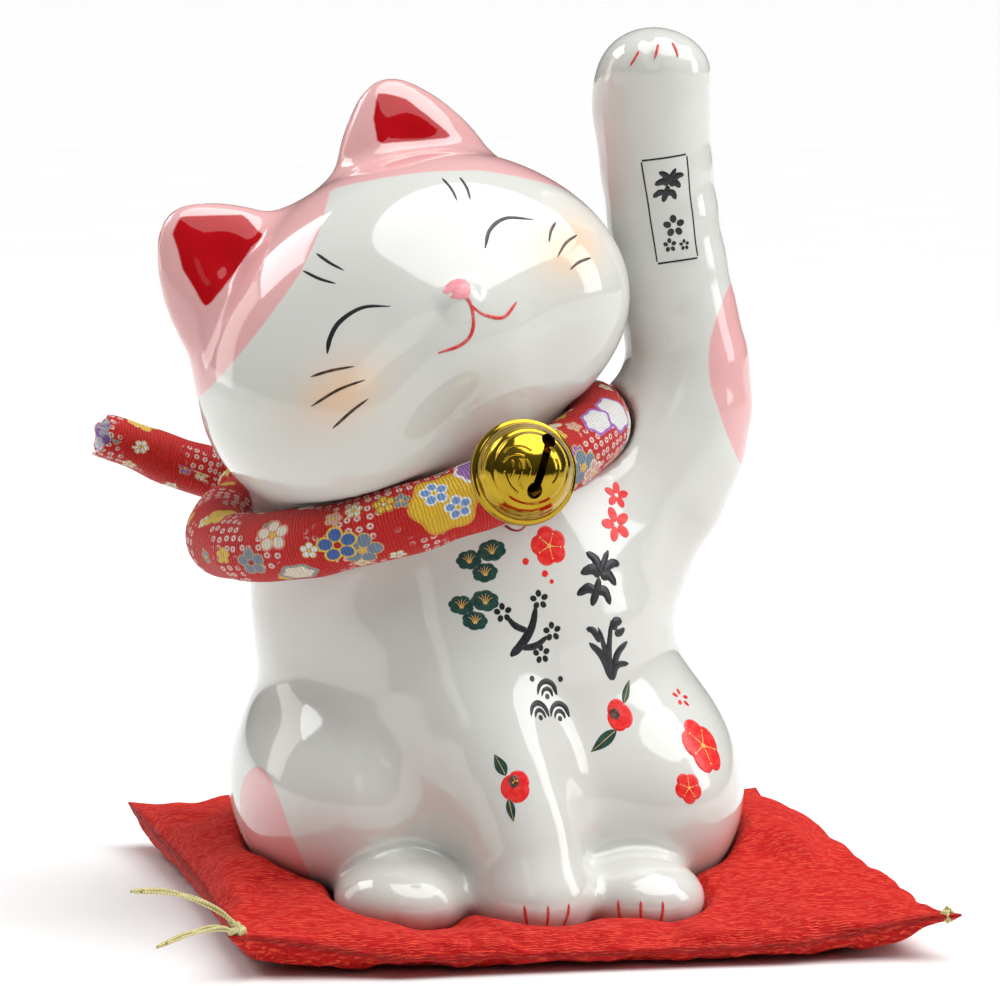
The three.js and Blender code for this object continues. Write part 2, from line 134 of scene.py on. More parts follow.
BASE_Z = 4.6                           # flat foot of the cat
WALL = 4.5
DRAIN_RADIUS = 7.0
HEAD_CENTRE = np.array([-35.6, -12.0, 150.0])


def turn_matrix(yaw, pitch, roll):
    """Columns are the turned axes: roll about Y first, then pitch about X, then yaw about Z."""
    y, p, r = np.radians([yaw, pitch, roll])
    about_z = np.array([[np.cos(y), -np.sin(y), 0], [np.sin(y), np.cos(y), 0], [0, 0, 1]])
    about_x = np.array([[1, 0, 0], [0, np.cos(p), -np.sin(p)], [0, np.sin(p), np.cos(p)]])
    about_y = np.array([[np.cos(r), 0, np.sin(r)], [0, 1, 0], [-np.sin(r), 0, np.cos(r)]])
    return about_z @ about_x @ about_y


HEAD_TURN = turn_matrix(6.5, -15, -31)


def in_head(points):
    return (points - HEAD_CENTRE) @ HEAD_TURN


def from_head(points):
    return np.asarray(points) @ HEAD_TURN.T + HEAD_CENTRE


def ellipsoid(points, centre, radii):
    offset = points - np.array(centre, float)
    radii = np.array(radii, float)
    near = np.linalg.norm(offset / radii, axis=-1)
    far = np.linalg.norm(offset / radii ** 2, axis=-1) + 1e-9
    return near * (near - 1) / far


def blend(a, b, reach):
    """Smooth union: the two surfaces flow into each other over about this many millimetres."""
    share = np.clip(0.5 + 0.5 * (b - a) / reach, 0, 1)
    return b + (a - b) * share - reach * share * (1 - share)


def carve(a, b, reach):
    """Smooth cut of b out of a."""
    return -blend(-a, b, reach)


def smooth_line(stations, count):
    """A smooth curve through the stations; each row may hold a radius after its place."""
    stations = np.array(stations, float)
    padded = np.vstack([2 * stations[0] - stations[1], stations, 2 * stations[-1] - stations[-2]])
    rows = []
    for part in np.linspace(0, len(stations) - 1, count):
        i = min(int(part), len(stations) - 2)
        t = part - i
        a, b, c, d = padded[i:i + 4]
        rows.append(0.5 * ((2 * b) + (c - a) * t + (2 * a - 5 * b + 4 * c - d) * t ** 2
                           + (3 * b - a - 3 * c + d) * t ** 3))
    return np.array(rows)


def limb(points, stations, depth=1.0, count=10, reach=3.0):
    """A chain of round cones through the stations [x, y, z, radius], flattened along Y."""
    rows = smooth_line(stations, count)
    squeeze = np.array([1, 1 / depth, 1])
    points = points * squeeze
    distance = None
    for start, end in zip(rows[:-1], rows[1:]):
        a, b = start[:3] * squeeze, end[:3] * squeeze
        along = np.clip((points - a) @ (b - a) / np.dot(b - a, b - a), 0, 1)
        radius = start[3] + (end[3] - start[3]) * along
        piece = np.linalg.norm(points - a - along[..., None] * (b - a), axis=-1) - radius
        distance = piece if distance is None else blend(distance, piece, reach)
    return distance * (depth if depth < 1 else 1)


FEET = [  # centre and radii of the front paw and the two hind paws
    ((-10, -62, 12.5), (15, 15, 11.5)), ((-42, -54, 12), (17, 19, 11)),
    ((19, -57, 11.5), (16, 18, 10.5))]
ARM = [  # stations [x, y, z, radius] from the shoulder to the wrist
    [-4, -2, 92, 24], [20, -3, 102, 25], [36, -4, 120, 20.5], [42.3, -5, 138, 15.6],
    [38.5, -5, 160, 14], [34, -5, 184, 13.7], [30.8, -6, 206, 13.9], [30, -7, 214.5, 14]]


def body_distance(p):
    d = ellipsoid(p, (-9, 4, 33), (66, 58, 42))
    torso = [[-11, 0, 34, 55], [-14, -2, 60, 54], [-17, -4, 82, 51], [-26, -7, 100, 45],
             [-33, -9, 118, 40]]
    d = blend(d, limb(p, torso, 0.89, 8, 4), 10)
    d = blend(d, ellipsoid(p, (-46, -6, 80), (25, 31, 30)), 8)
    d = blend(d, ellipsoid(p, (-50, -15, 34), (26, 41, 30)), 9)
    d = blend(d, ellipsoid(p, (29, -13, 31), (25, 40, 29)), 12)
    leg = [[-34, -22, 84, 25], [-26, -40, 58, 20.5], [-15, -53, 34, 15.5], [-10, -60, 15, 13]]
    d = blend(d, limb(p, leg, 1, 8, 4), 10)
    for centre, radii in FEET:
        d = blend(d, ellipsoid(p, centre, radii), 6)
    tail = [[-6, 46, 22, 9], [-1, 60, 33, 9], [3, 65, 46, 7.5]]
    return blend(d, limb(p, tail, 1, 6), 6)



def arm_distance(p):
    d = limb(p, ARM, 1, 14, 4)
    return blend(d, ellipsoid(p, (30.3, -13, 218.5), (13.1, 11.2, 9.7)), 5)


def ear_distance(q, side):
    root_to_tip = [[side * 24, 4, 20, 25], [side * 29, 3, 36, 17.5], [side * 32.5, 2, 50.5, 6.5]]
    shell = limb(q, root_to_tip, 0.5, 6, 5)
    hollow = ellipsoid(q, (side * 30, -13, 41), (10, 8, 13))
    return carve(shell, hollow, 2.5)


def head_distance(p):
    q = in_head(p)
    d = ellipsoid(q, (0, 0, 0), (57, 47, 43))
    d = blend(d, ellipsoid(q, (0, -34, -7), (22, 14, 15)), 12)
    for side in (-1, 1):
        d = blend(d, ellipsoid(q, (side * 30, -14, -10), (24, 28, 24)), 12)
        d = blend(d, ear_distance(q, side), 5)
    return blend(d, ellipsoid(q, (0, -49.5, 0.5), (4.2, 3, 3)), 4)


def whole_distance(p):
    d = blend(body_distance(p), arm_distance(p), 12)
    return blend(d, head_distance(p), 5)


def cut_foot(p, d):
    """Cuts the flat foot that the cat stands on."""
    return carve(d, p[..., 2] - BASE_Z, 3)


def gradient(distance, points, step=0.25):
    parts = []
    for axis in np.eye(3) * step:
        parts.append(distance(points + axis) - distance(points - axis))
    return np.stack(parts, -1) / (2 * step)


def settle(distance, points, rounds=3):
    """Moves points onto the surface, and gives its outward normals there."""
    for _ in range(rounds):
        slope = gradient(distance, points)
        size = np.sum(slope ** 2, -1, keepdims=True) + 1e-9
        points = points - np.clip(distance(points)[..., None] / size, -3, 3) * slope
    slope = gradient(distance, points)
    return points, slope / (np.linalg.norm(slope, axis=-1, keepdims=True) + 1e-9)


def surface_net(distance, low, high, cell):
    """The zero surface of a distance function as quads, one vertex in each cell it crosses."""
    low = np.array(low, float)
    counts = np.ceil((np.array(high, float) - low) / cell).astype(int) + 1
    axes = [low[i] + cell * np.arange(counts[i]) for i in range(3)]
    values = np.empty(counts, np.float64)
    for i, x in enumerate(axes[0]):
        grid = np.stack(np.meshgrid([x], axes[1], axes[2], indexing="ij"), -1)
        values[i] = distance(grid)[0]
    inside = values < 0
    total = np.zeros(counts - 1)
    place = np.zeros(tuple(counts - 1) + (3,))
    for axis in range(3):
        for du in (0, 1):
            for dv in (0, 1):
                first = [slice(0, counts[k] - 1) for k in range(3)]
                u, v = [k for k in range(3) if k != axis]
                first[u] = slice(du, counts[u] - 1 + du)
                first[v] = slice(dv, counts[v] - 1 + dv)
                second = list(first)
                second[axis] = slice(1, counts[axis])
                a, b = values[tuple(first)], values[tuple(second)]
                cross = (a < 0) != (b < 0)
                share = np.where(cross, a / np.where(cross, a - b, 1), 0)
                total += cross
                place[..., axis] += share
                place[..., u] += cross * du
                place[..., v] += cross * dv
    used = total > 0
    number = -np.ones(used.shape, int)
    number[used] = np.arange(used.sum())
    corner = np.stack(np.nonzero(used), -1)
    points = low + cell * (corner + place[used] / total[used][:, None])
    quads = []
    for axis in range(3):
        u, v = (axis + 1) % 3, (axis + 2) % 3
        a = [slice(None)] * 3
        b = [slice(None)] * 3
        a[axis], b[axis] = slice(0, -1), slice(1, None)
        change = inside[tuple(a)].astype(int) - inside[tuple(b)].astype(int)
        spots = np.stack(np.nonzero(change), -1)
        spots = spots[(spots[:, u] > 0) & (spots[:, v] > 0)
                      & (spots[:, u] < counts[u] - 1) & (spots[:, v] < counts[v] - 1)]
        signs = change[tuple(spots.T)]
        ring = []
        for du, dv in ((-1, -1), (0, -1), (0, 0), (-1, 0)):
            at = spots.copy()
            at[:, u] += du
            at[:, v] += dv
            ring.append(number[tuple(at.T)])
        ring = np.stack(ring, -1)
        ring[signs < 0] = ring[signs < 0][:, ::-1]
        quads.append(ring)
    return points, np.vstack(quads)


# ------------------------------------------------------------------ mesh helpers

def mesh_piece(name, shape, body, smooth=True):
    """A new object that rides on a body. Its shape is points in millimetres, faces and sometimes
    uv, which holds a pair per point, and a third number where it wraps round a tube: the girth."""
    points, faces, *uv = shape
    mesh = bpy.data.meshes.new(name)
    indices = [tuple(int(i) for i in face) for face in faces]
    mesh.from_pydata((np.asarray(points) * MM).tolist(), [], indices)
    mesh.update()
    if smooth:
        mesh.polygons.foreach_set("use_smooth", [True] * len(mesh.polygons))
    if uv:
        loops = np.empty(len(mesh.loops), int)
        mesh.loops.foreach_get("vertex_index", loops)
        layer = mesh.uv_layers.new(name="UVMap")
        corners = unrolled(mesh, np.asarray(uv[0])[loops])
        layer.data.foreach_set("uv", corners.astype(np.float32).ravel())
    obj = bpy.data.objects.new(name, mesh)
    bpy.context.scene.collection.objects.link(obj)
    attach(obj, body)
    return obj


def unrolled(mesh, corners):
    """Face corners' uv, with a face that spans the join of a tube carried over it."""
    if corners.shape[1] == 2:
        return corners
    starts, counts = np.empty((2, len(mesh.polygons)), int)
    mesh.polygons.foreach_get("loop_start", starts)
    mesh.polygons.foreach_get("loop_total", counts)
    highest = np.repeat(np.maximum.reduceat(corners[:, 1], starts), counts)
    spans = highest - corners[:, 1] > corners[:, 2] / 2
    return np.stack([corners[:, 0], corners[:, 1] + spans * corners[:, 2]], 1)


def outward(points, faces):
    """The faces turned so that a closed shape's normals point out."""
    volume = 0.0
    for face in faces:
        a, b, c = (points[i] for i in face[:3])
        volume += np.dot(a, np.cross(b, c))
        if len(face) == 4:
            volume += np.dot(a, np.cross(c, points[face[3]]))
    return faces if volume > 0 else [face[::-1] for face in faces]


def attribute(obj, name, values):
    data = obj.data.attributes.new(name, "FLOAT", "POINT").data
    data.foreach_set("value", np.asarray(values, np.float32))


def grid_faces(rows, columns, close_rows=False, close_columns=False, start=0):
    """Quads over a grid of points, row by row."""
    faces = []
    for i in range(rows if close_rows else rows - 1):
        for j in range(columns if close_columns else columns - 1):
            a = start + i * columns + j
            b = start + i * columns + (j + 1) % columns
            c = start + (i + 1) % rows * columns + (j + 1) % columns
            d = start + (i + 1) % rows * columns + j
            faces.append((a, b, c, d))
    return faces


def unit_rows(vectors):
    return vectors / np.linalg.norm(vectors, axis=1, keepdims=True)


def full_turn(count):
    """Angles evenly round a circle."""
    return np.linspace(0, 2 * np.pi, count, endpoint=False)


def frames_along(line, up=(0, 0, 1)):
    """Tangent, side and top vectors along a line of points."""
    tangent = unit_rows(np.gradient(line, axis=0))
    side = unit_rows(np.cross(tangent, np.broadcast_to(np.array(up, float), tangent.shape)))
    return tangent, side, np.cross(side, tangent)


def arc_length(line):
    steps = np.linalg.norm(np.diff(line, axis=0), axis=1)
    return np.concatenate([[0], np.cumsum(steps)])


def half_turned(angle):
    """Share of a turn round a tube, counted so that the cloth's join is opposite angle 0."""
    return (angle / (2 * np.pi) + 0.5) % 1.0


def swept(line, radius, sides, up=(0, 0, 1), closed=False):
    """A tube round a line: points, faces and uv in millimetres. radius may vary along the line,
    or be an array of rows (along) by columns (around)."""
    line = np.asarray(line, float)
    _, side, top = frames_along(line, up)
    angle = full_turn(sides)
    radius = np.asarray(radius, float)
    if radius.ndim < 2:
        radius = np.broadcast_to(radius, (len(line),))[:, None]
    ring = (np.cos(angle)[None, :, None] * side[:, None]
            + np.sin(angle)[None, :, None] * top[:, None])
    points = line[:, None] + radius[..., None] * ring
    along = np.broadcast_to(arc_length(line)[:, None], points.shape[:2])
    girth = 2 * np.pi * float(np.mean(radius))
    around = np.broadcast_to(half_turned(angle)[None] * girth, points.shape[:2])
    faces = grid_faces(len(line), sides, closed, True)
    if not closed:
        faces.append(tuple(range(sides - 1, -1, -1)))
        faces.append(tuple((len(line) - 1) * sides + i for i in range(sides)))
    uv = np.stack([along.ravel(), around.ravel(), np.full(around.size, girth)], 1)
    return points.reshape(-1, 3), faces, uv


def joined(parts):
    """Several (points, faces, uv) shapes as one."""
    points, faces, uv, start = [], [], [], 0
    for part in parts:
        points.append(part[0])
        uv.append(part[2])
        faces += [tuple(i + start for i in face) for face in part[1]]
        start += len(part[0])
    return np.vstack(points), faces, np.vstack(uv)


def lathe(profile, sides):
    """A closed profile of [radius, height] turned about Z: points and faces."""
    profile = np.array(profile, float)
    angle = full_turn(sides)
    x = profile[:, :1] * np.cos(angle)
    y = profile[:, :1] * np.sin(angle)
    z = np.broadcast_to(profile[:, 1:], x.shape)
    return np.stack([x, y, z], -1).reshape(-1, 3), grid_faces(len(profile), sides, True, True)


def smoothstep(low, high, value):
    share = np.clip((value - low) / (high - low), 0, 1)
    return share * share * (3 - 2 * share)


# ------------------------------------------------------------------ materials

class Shader:
    """One node material. Its methods take sockets or plain numbers, and give sockets."""

    def __init__(self, name, **settings):
        self.material = bpy.data.materials.new(name)
        self.material.use_nodes = True
        self.tree = self.material.node_tree
        self.shader = self.tree.nodes["Principled BSDF"]
        for key, value in settings.items():
            self.shader.inputs[key.replace("_", " ")].default_value = value

    def node(self, kind, inputs=None, **settings):
        node = self.tree.nodes.new(kind)
        for key, value in settings.items():
            setattr(node, key, value)
        for key, value in (inputs or {}).items():
            self.feed(node.inputs[key], value)
        return node

    def feed(self, socket, value):
        if isinstance(value, bpy.types.NodeSocket):
            self.tree.links.new(value, socket)
        elif isinstance(value, (tuple, list)) and socket.type == "RGBA" and len(value) == 3:
            socket.default_value = (*value, 1)
        else:
            socket.default_value = value

    def math(self, operation, a, b=0.0, c=0.0, clamp=False):
        inputs = {0: a, 1: b, 2: c}
        node = self.node("ShaderNodeMath", inputs, operation=operation, use_clamp=clamp)
        return node.outputs[0]

    def times(self, a, b):
        return self.math("MULTIPLY", a, b)

    def plus(self, a, b):
        return self.math("ADD", a, b)

    def minus(self, a, b):
        return self.math("SUBTRACT", a, b)

    def times_plus(self, a, b, c):
        return self.math("MULTIPLY_ADD", a, b, c)

    def wave(self, value, rate):
        return self.math("SINE", self.times(value, rate))

    def vector(self, operation, a, b=(0, 0, 0)):
        node = self.node("ShaderNodeVectorMath", {0: a}, operation=operation)
        self.feed(node.inputs["Scale" if operation == "SCALE" else 1], b)
        return node.outputs["Value" if operation == "LENGTH" else "Vector"]

    def step(self, low, high, value):
        """0 below low, 1 above high and smooth between; low above high turns it round."""
        inputs = {0: value, 1: low, 2: high}
        return self.node("ShaderNodeMapRange", inputs, interpolation_type="SMOOTHSTEP").outputs[0]

    def band(self, inside, half, blur=0.12):
        """A line of this half width along an edge, from the distance inside it."""
        return self.step(-blur, blur, self.minus(half, self.math("ABSOLUTE", inside)))

    def mix(self, share, a, b, blend="MIX"):
        node = self.node("ShaderNodeMix", data_type="RGBA", blend_type=blend)
        for socket, value in zip((node.inputs[0], node.inputs[6], node.inputs[7]), (share, a, b)):
            self.feed(socket, value)
        return node.outputs[2]

    def pick(self, value, stops):
        """One of the colours, by where the value lies between the stops."""
        node = self.node("ShaderNodeValToRGB", {0: value})
        ramp = node.color_ramp
        ramp.interpolation = "CONSTANT"
        while len(ramp.elements) < len(stops):
            ramp.elements.new(0.5)
        for element, (place, colour) in zip(ramp.elements, stops):
            element.position = place
            element.color = (*colour, 1)
        return node.outputs[0]

    def noise(self, vector, scale, detail, roughness=0.5):
        inputs = {"Vector": vector, "Scale": scale, "Detail": detail, "Roughness": roughness}
        return self.node("ShaderNodeTexNoise", inputs).outputs["Fac"]

    def where(self):
        """The point in millimetres, in the object's own frame."""
        place = self.node("ShaderNodeTexCoord").outputs["Object"]
        return self.vector("SCALE", place, 1000.0)

    def cloth_map(self):
        return self.node("ShaderNodeUVMap", uv_map="UVMap").outputs["UV"]

    def value_of(self, name):
        return self.node("ShaderNodeAttribute", attribute_name=name).outputs["Fac"]

    def split(self, vector):
        return self.node("ShaderNodeSeparateXYZ", {0: vector}).outputs

    def pack(self, x, y, z=0.0):
        return self.node("ShaderNodeCombineXYZ", {0: x, 1: y, 2: z}).outputs[0]

    def bump(self, height, distance, strength, under=None):
        """A bump whose height of 1 stands this many millimetres proud."""
        inputs = {"Height": height, "Distance": distance * MM, "Strength": strength}
        node = self.node("ShaderNodeBump", inputs)
        if under is not None:
            self.feed(node.inputs["Normal"], under)
        return node.outputs[0]

    def finish(self, **links):
        for key, value in links.items():
            self.feed(self.shader.inputs[key.replace("_", " ")], value)
        return self.material


def put_on(obj, *materials):
    obj.data.materials.clear()
    for material in materials:
        obj.data.materials.append(material)


GLAZE_WHITE = (0.67, 0.675, 0.64)
GLAZE_PINK = (0.74, 0.35, 0.355)
EAR_RED = (0.44, 0.002, 0.006)
BLUSH = (0.95, 0.55, 0.28)


def ceramic_material():
    s = Shader("glazed_ceramic", Roughness=0.09, IOR=1.52, Coat_Weight=0.3, Coat_Roughness=0.03)
    place = s.where()
    cloudy = s.noise(place, 0.012, 3)
    tint = s.mix(s.times(cloudy, 0.5), GLAZE_WHITE, (0.62, 0.612, 0.555))
    blush = s.times(s.value_of("blush"), 0.62)
    tint = s.mix(blush, tint, BLUSH)
    ragged = s.times(s.minus(s.noise(place, 0.5, 2), 0.5), 0.35)
    pink_share = s.step(-0.25, 0.25, s.plus(s.value_of("pink"), ragged))
    uneven = s.noise(place, 0.05, 4)
    pink = s.mix(uneven, GLAZE_PINK, (0.78, 0.44, 0.43))
    tint = s.mix(s.times(pink_share, 0.96), tint, pink)
    red_share = s.step(-0.3, 0.3, s.plus(s.value_of("ear_red"), ragged))
    tint = s.mix(red_share, tint, EAR_RED)
    pores = s.step(0.74, 0.8, s.noise(place, 0.9, 1))
    wavy = s.bump(s.noise(place, 0.035, 2), 0.35, 0.6)
    peel = s.bump(s.noise(place, 0.4, 2), 0.02, 0.5, wavy)
    pitted = s.bump(s.times(pores, -1.0), 0.03, 0.4, peel)
    foot = s.step(0.9, 0.2, s.minus(s.split(place)[2], BASE_Z))
    bisque = s.mix(s.noise(place, 0.8, 4), (0.72, 0.68, 0.60), (0.82, 0.79, 0.72))
    tint = s.mix(foot, tint, bisque)
    rough = s.plus(s.times(foot, 0.7), s.times_plus(uneven, 0.05, 0.06))
    shine = s.times_plus(red_share, -0.4, 0.5)
    return s.finish(Base_Color=tint, Normal=pitted, Roughness=rough, Specular_IOR_Level=shine)


def enamel_material(name, colour, worn=(1, 1, 1), wear=0.12):
    """Overglaze paint: a thinner gloss than the glaze, a little uneven in its depth."""
    s = Shader(name, IOR=1.4, Coat_Weight=0.12, Coat_Roughness=0.06)
    place = s.where()
    thin = s.times(s.step(0.35, 0.75, s.noise(place, 0.6, 4)), wear)
    rough = s.times_plus(s.noise(place, 1.5, 2), 0.15, 0.22)
    relief = s.bump(s.noise(place, 1.2, 3), 0.03, 0.4)
    return s.finish(Base_Color=s.mix(thin, colour, worn), Roughness=rough, Normal=relief)


# ------------------------------------------------------------------ the cat in detail

COLLAR_CENTRE = np.array([-32.5, -8.0, 113.0])
COLLAR_RADII = (51.0, 46.0)
COLLAR_ACROSS = np.array([math.cos(math.radians(18)), 0, math.sin(math.radians(18))])
COLLAR_BACK = np.array([0, math.cos(math.radians(3)), math.sin(math.radians(3))])
COLLAR_AXIS = np.cross(COLLAR_ACROSS, COLLAR_BACK)
COLLAR_TUBE = 9.0
KNOT_ANGLE = 130


def collar_point(degrees):
    angle = np.radians(degrees)[..., None]
    return (COLLAR_CENTRE + COLLAR_RADII[0] * np.cos(angle) * COLLAR_ACROSS
            + COLLAR_RADII[1] * np.sin(angle) * COLLAR_BACK)


def collar_distance(p, tube):
    offset = p - COLLAR_CENTRE
    flat = np.stack([offset @ COLLAR_ACROSS, offset @ COLLAR_BACK], -1)
    radii = np.array(COLLAR_RADII)
    near = np.linalg.norm(flat / radii, axis=-1)
    away = near * (near - 1) / (np.linalg.norm(flat / radii ** 2, axis=-1) + 1e-9)
    return np.hypot(away, offset @ COLLAR_AXIS) - tube


TOE_LINES = [  # [paw centre x, y of the front, half spacing, top z]
    (-10, -77, 4.4, 12), (19, -75, 4.6, 11.5), (-42, -73, 5.0, 12)]


def toe_grooves(p, d):
    """Shallow grooves down the front of the paws."""
    for x, y, half, top in TOE_LINES:
        for side in (-1, 1):
            across = p[..., 0] - x - side * half
            groove = np.sqrt(across ** 2 + 0.4) - 0.9
            reach = np.maximum(p[..., 1] - (y + 7.5), p[..., 2] - top)
            d = d + 0.55 * smoothstep(1.5, -1.5, groove) * smoothstep(2.0, -4.0, reach)
    for side in (-1, 1):
        across = p[..., 0] - 30.3 - side * 4.6
        reach = np.maximum(p[..., 1] + 15, 219 - p[..., 2])
        d = d + 0.5 * smoothstep(1.5, -1.5, np.abs(across) - 0.9) * smoothstep(2.0, -4.0, reach)
    return d


def cat_distance(p):
    """The finished cat, with the collar's groove, the hollow and the drain hole."""
    d = cut_foot(p, toe_grooves(p, whole_distance(p)))
    d = carve(d, collar_distance(p, COLLAR_TUBE + 0.5), 1.2)
    knot = ellipsoid(p, collar_point(np.array(KNOT_ANGLE)), (12.4, 10.9, 12.4))
    d = carve(d, knot, 1.2)
    inside = ellipsoid(p, (-9, 4, BASE_Z + WALL + 16), (36, 34, 17))
    well = np.hypot(p[..., 0] + 9, p[..., 1] - 4) - DRAIN_RADIUS
    drain = np.maximum(well, p[..., 2] - BASE_Z - WALL - 5)
    return carve(d, blend(inside, drain, 1.5), 1.2)


def outline_distance(x, z, outline):
    """Signed distance from points to a closed outline, positive inside."""
    outline = np.array(outline, float)
    best = np.full(x.shape, 1e9)
    inside = np.zeros(x.shape, bool)
    for (ax, az), (bx, bz) in zip(outline, np.roll(outline, -1, axis=0)):
        along = (x - ax) * (bx - ax) + (z - az) * (bz - az)
        t = np.clip(along / ((bx - ax) ** 2 + (bz - az) ** 2), 0, 1)
        best = np.minimum(best, np.hypot(x - ax - t * (bx - ax), z - az - t * (bz - az)))
        crosses = (az > z) != (bz > z)
        slope = np.where(crosses, (bx - ax) * (z - az) / np.where(bz == az, 1, bz - az) + ax, -1e9)
        inside ^= crosses & (x < slope)
    return np.where(inside, best, -best)


# The hairline of the pink cap, across the front of the head, as (x, z) round the head's middle.
HAIRLINE = [(-60, -2), (-54, 15), (-49, 17.5), (-38.5, 21.7), (-25, 27.2), (-13, 33.8), (-6, 38),
            (0, 41), (8, 37), (18, 32), (31, 24.5), (40, 17), (52, 6), (60, -4)]
PINK_SPOTS = [  # centre x, y, z, half width and half height
    (-69, -27, 23.5, 16, 19), (55, -11, 140, 15.5, 24), (-24, 56, 70, 22, 17),
    (30, 38, 30, 18, 15)]


def pink_field(p):
    """Positive where the glaze is pink: the cap, four spots and the tail."""
    q = in_head(p)
    x, y, z = q[..., 0], q[..., 1], q[..., 2]
    line = np.interp(x, *np.array(HAIRLINE, float).T)
    nape = 10 * smoothstep(5, 40, y)
    cap = np.where(z > -30, (z - line + nape) * 0.8, -20)
    cap = np.minimum(cap, skull_side(p))
    for cx, cy, cz, width, height in PINK_SPOTS:
        aside = np.hypot(p[..., 0] - cx, p[..., 1] - cy) / width
        offset = np.hypot(aside, (p[..., 2] - cz) / height)
        cap = np.maximum(cap, (1 - offset) * min(width, height))
    tail = 12 - ellipsoid(p, (2, 66, 44), (3, 3, 3))
    return np.maximum(cap, np.minimum(tail, p[..., 1] - 58))


def skull_side(p):
    """Positive on the head and ears, negative on the arm and body."""
    return arm_distance(p) - head_distance(p) - 1


EAR_PATCHES = [[(-33, 55), (-19.5, 47), (-20, 41), (-41, 34), (-40, 44), (-36.5, 53)],
               [(30.5, 54.5), (34.5, 50), (38.5, 36.5), (22.5, 44.5), (25.5, 50)]]


def ear_field(p):
    """Positive inside the red patches of the ears' fronts."""
    q = in_head(p)
    best = np.full(p.shape[:-1], -1e9)
    for outline in EAR_PATCHES:
        field = outline_distance(q[..., 0], q[..., 2], outline) + 0.8
        best = np.maximum(best, np.minimum(field, -q[..., 1] - 0.4))
    return best


def blush_field(p):
    q = in_head(p)
    total = np.zeros(p.shape[:-1])
    for x, z in ((-37, -3), (35, -4)):
        away = np.hypot((q[..., 0] - x) / 12, (q[..., 2] - z) / 9)
        total += np.exp(-away ** 2 * 1.4) * (q[..., 1] < -15)
    return total


CAT_BOX = (-100, -82, 1.5), (64, 80, 234)
FINE_CELL, QUICK_CELL = 1.7, 2.4


def make_cat():
    cell = FINE_CELL
    points, faces = surface_net(cat_distance, *CAT_BOX, cell)
    points, _ = settle(cat_distance, points)
    cat = mesh_piece("glazed_cat", (points, faces), "cat")
    attribute(cat, "pink", pink_field(points))
    attribute(cat, "ear_red", ear_field(points))
    attribute(cat, "blush", blush_field(points))
    put_on(cat, ceramic_material())
    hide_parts("ceramic_cat")


# ------------------------------------------------------------------ overglaze painting

PAINT_LIFT, LAYER_LIFT, TUCK = 0.035, 0.045, -0.05      # millimetres off the glaze


class Brush:
    """Collects painted marks of one colour as thin skins that follow the glaze."""

    def __init__(self, name, colour, layer=1, **wear):
        self.name, self.colour, self.layer, self.wear = name, colour, layer, wear
        self.points, self.lifts, self.faces = [], [], []

    def lay(self, grid, closed):
        """grid holds rows of points on the surface; the outer ring is tucked under the glaze."""
        rows, columns = grid.shape[:2]
        lift = np.full((rows, columns), PAINT_LIFT + LAYER_LIFT * self.layer)
        lift[-1] = TUCK
        if not closed:
            lift[0] = lift[:, 0] = lift[:, -1] = TUCK
        start = sum(len(points) for points in self.points)
        self.faces += grid_faces(rows, columns, False, closed, start)
        self.points.append(grid.reshape(-1, 3))
        self.lifts.append(lift.ravel())

    def blob(self, spot, outline):
        """A filled outline of (u, v) round the spot."""
        outline = np.array(outline, float)
        middle = outline.mean(0)
        shares = np.array([0.02, 0.3, 0.6, 0.85, 0.96, 1.0])
        rows = middle + (outline - middle)[None] * shares[:, None, None]
        self.lay(spot.lift(rows), True)

    def dot(self, spot, centre, radius, count=10):
        self.blob(spot, ellipse_outline(centre, (radius, radius), count=count))

    def stroke(self, spot, line, width, swell, count=24):
        """A brush stroke along (u, v) points; swell gives the share of the width along it."""
        line = smooth_line(line, count)
        along = np.linspace(0, 1, count)
        share = np.interp(along, *np.array(swell).T)
        tangent = unit_rows(np.gradient(line, axis=0))
        side = np.stack([-tangent[:, 1], tangent[:, 0]], 1)
        half = (width / 2 * np.maximum(share, 0.08))[:, None]
        rows = [line + side * half * across for across in (-1.1, -0.8, 0, 0.8, 1.1)]
        self.lay(spot.lift(np.stack(rows)), False)

    def finish(self):
        points, normals = settle(cat_distance, np.vstack(self.points))
        points = points + normals * np.concatenate(self.lifts)[:, None]
        piece = mesh_piece(self.name, (points, self.faces), "cat")
        put_on(piece, enamel_material(self.name, self.colour, **self.wear))


IN_FRONT = -95.0                       # the cat's front is nowhere this far out


class Spot:
    """A place on the cat to paint at: flat (u, v) millimetres on the surface's tangent plane.
    It is found by looking along Y from (x, z) in front of the cat."""

    def __init__(self, x, z, turn=0.0, size=1.0):
        place = np.array([x, IN_FRONT, z], float)
        for _ in range(25):
            place[1] += max(float(cat_distance(place[None])[0]), 0)
        self.place, normal = settle(cat_distance, place[None])
        self.place, normal = self.place[0], normal[0]
        up = np.array([0, 0, 1.0])
        up = up - normal * (up @ normal)
        up /= np.linalg.norm(up)
        right = np.cross(up, normal)
        right *= np.sign(right[0])
        angle = math.radians(turn)
        self.u = (math.cos(angle) * right + math.sin(angle) * up) * size
        self.v = (-math.sin(angle) * right + math.cos(angle) * up) * size

    def lift(self, flat):
        return self.place + flat[..., :1] * self.u + flat[..., 1:] * self.v


class Face:
    """Paints in the head's own (x, z), looking along its depth."""

    @staticmethod
    def lift(flat):
        shape = flat.shape[:-1]
        local = np.stack([flat[..., 0], np.full(shape, -70.0), flat[..., 1]], -1).reshape(-1, 3)
        points = from_head(local)
        for _ in range(12):
            points = points + np.maximum(cat_distance(points), 0)[:, None] * HEAD_TURN[:, 1]
        return points.reshape(*shape, 3)


def on_circle(degrees):
    return np.array([math.cos(math.radians(degrees)), math.sin(math.radians(degrees))])


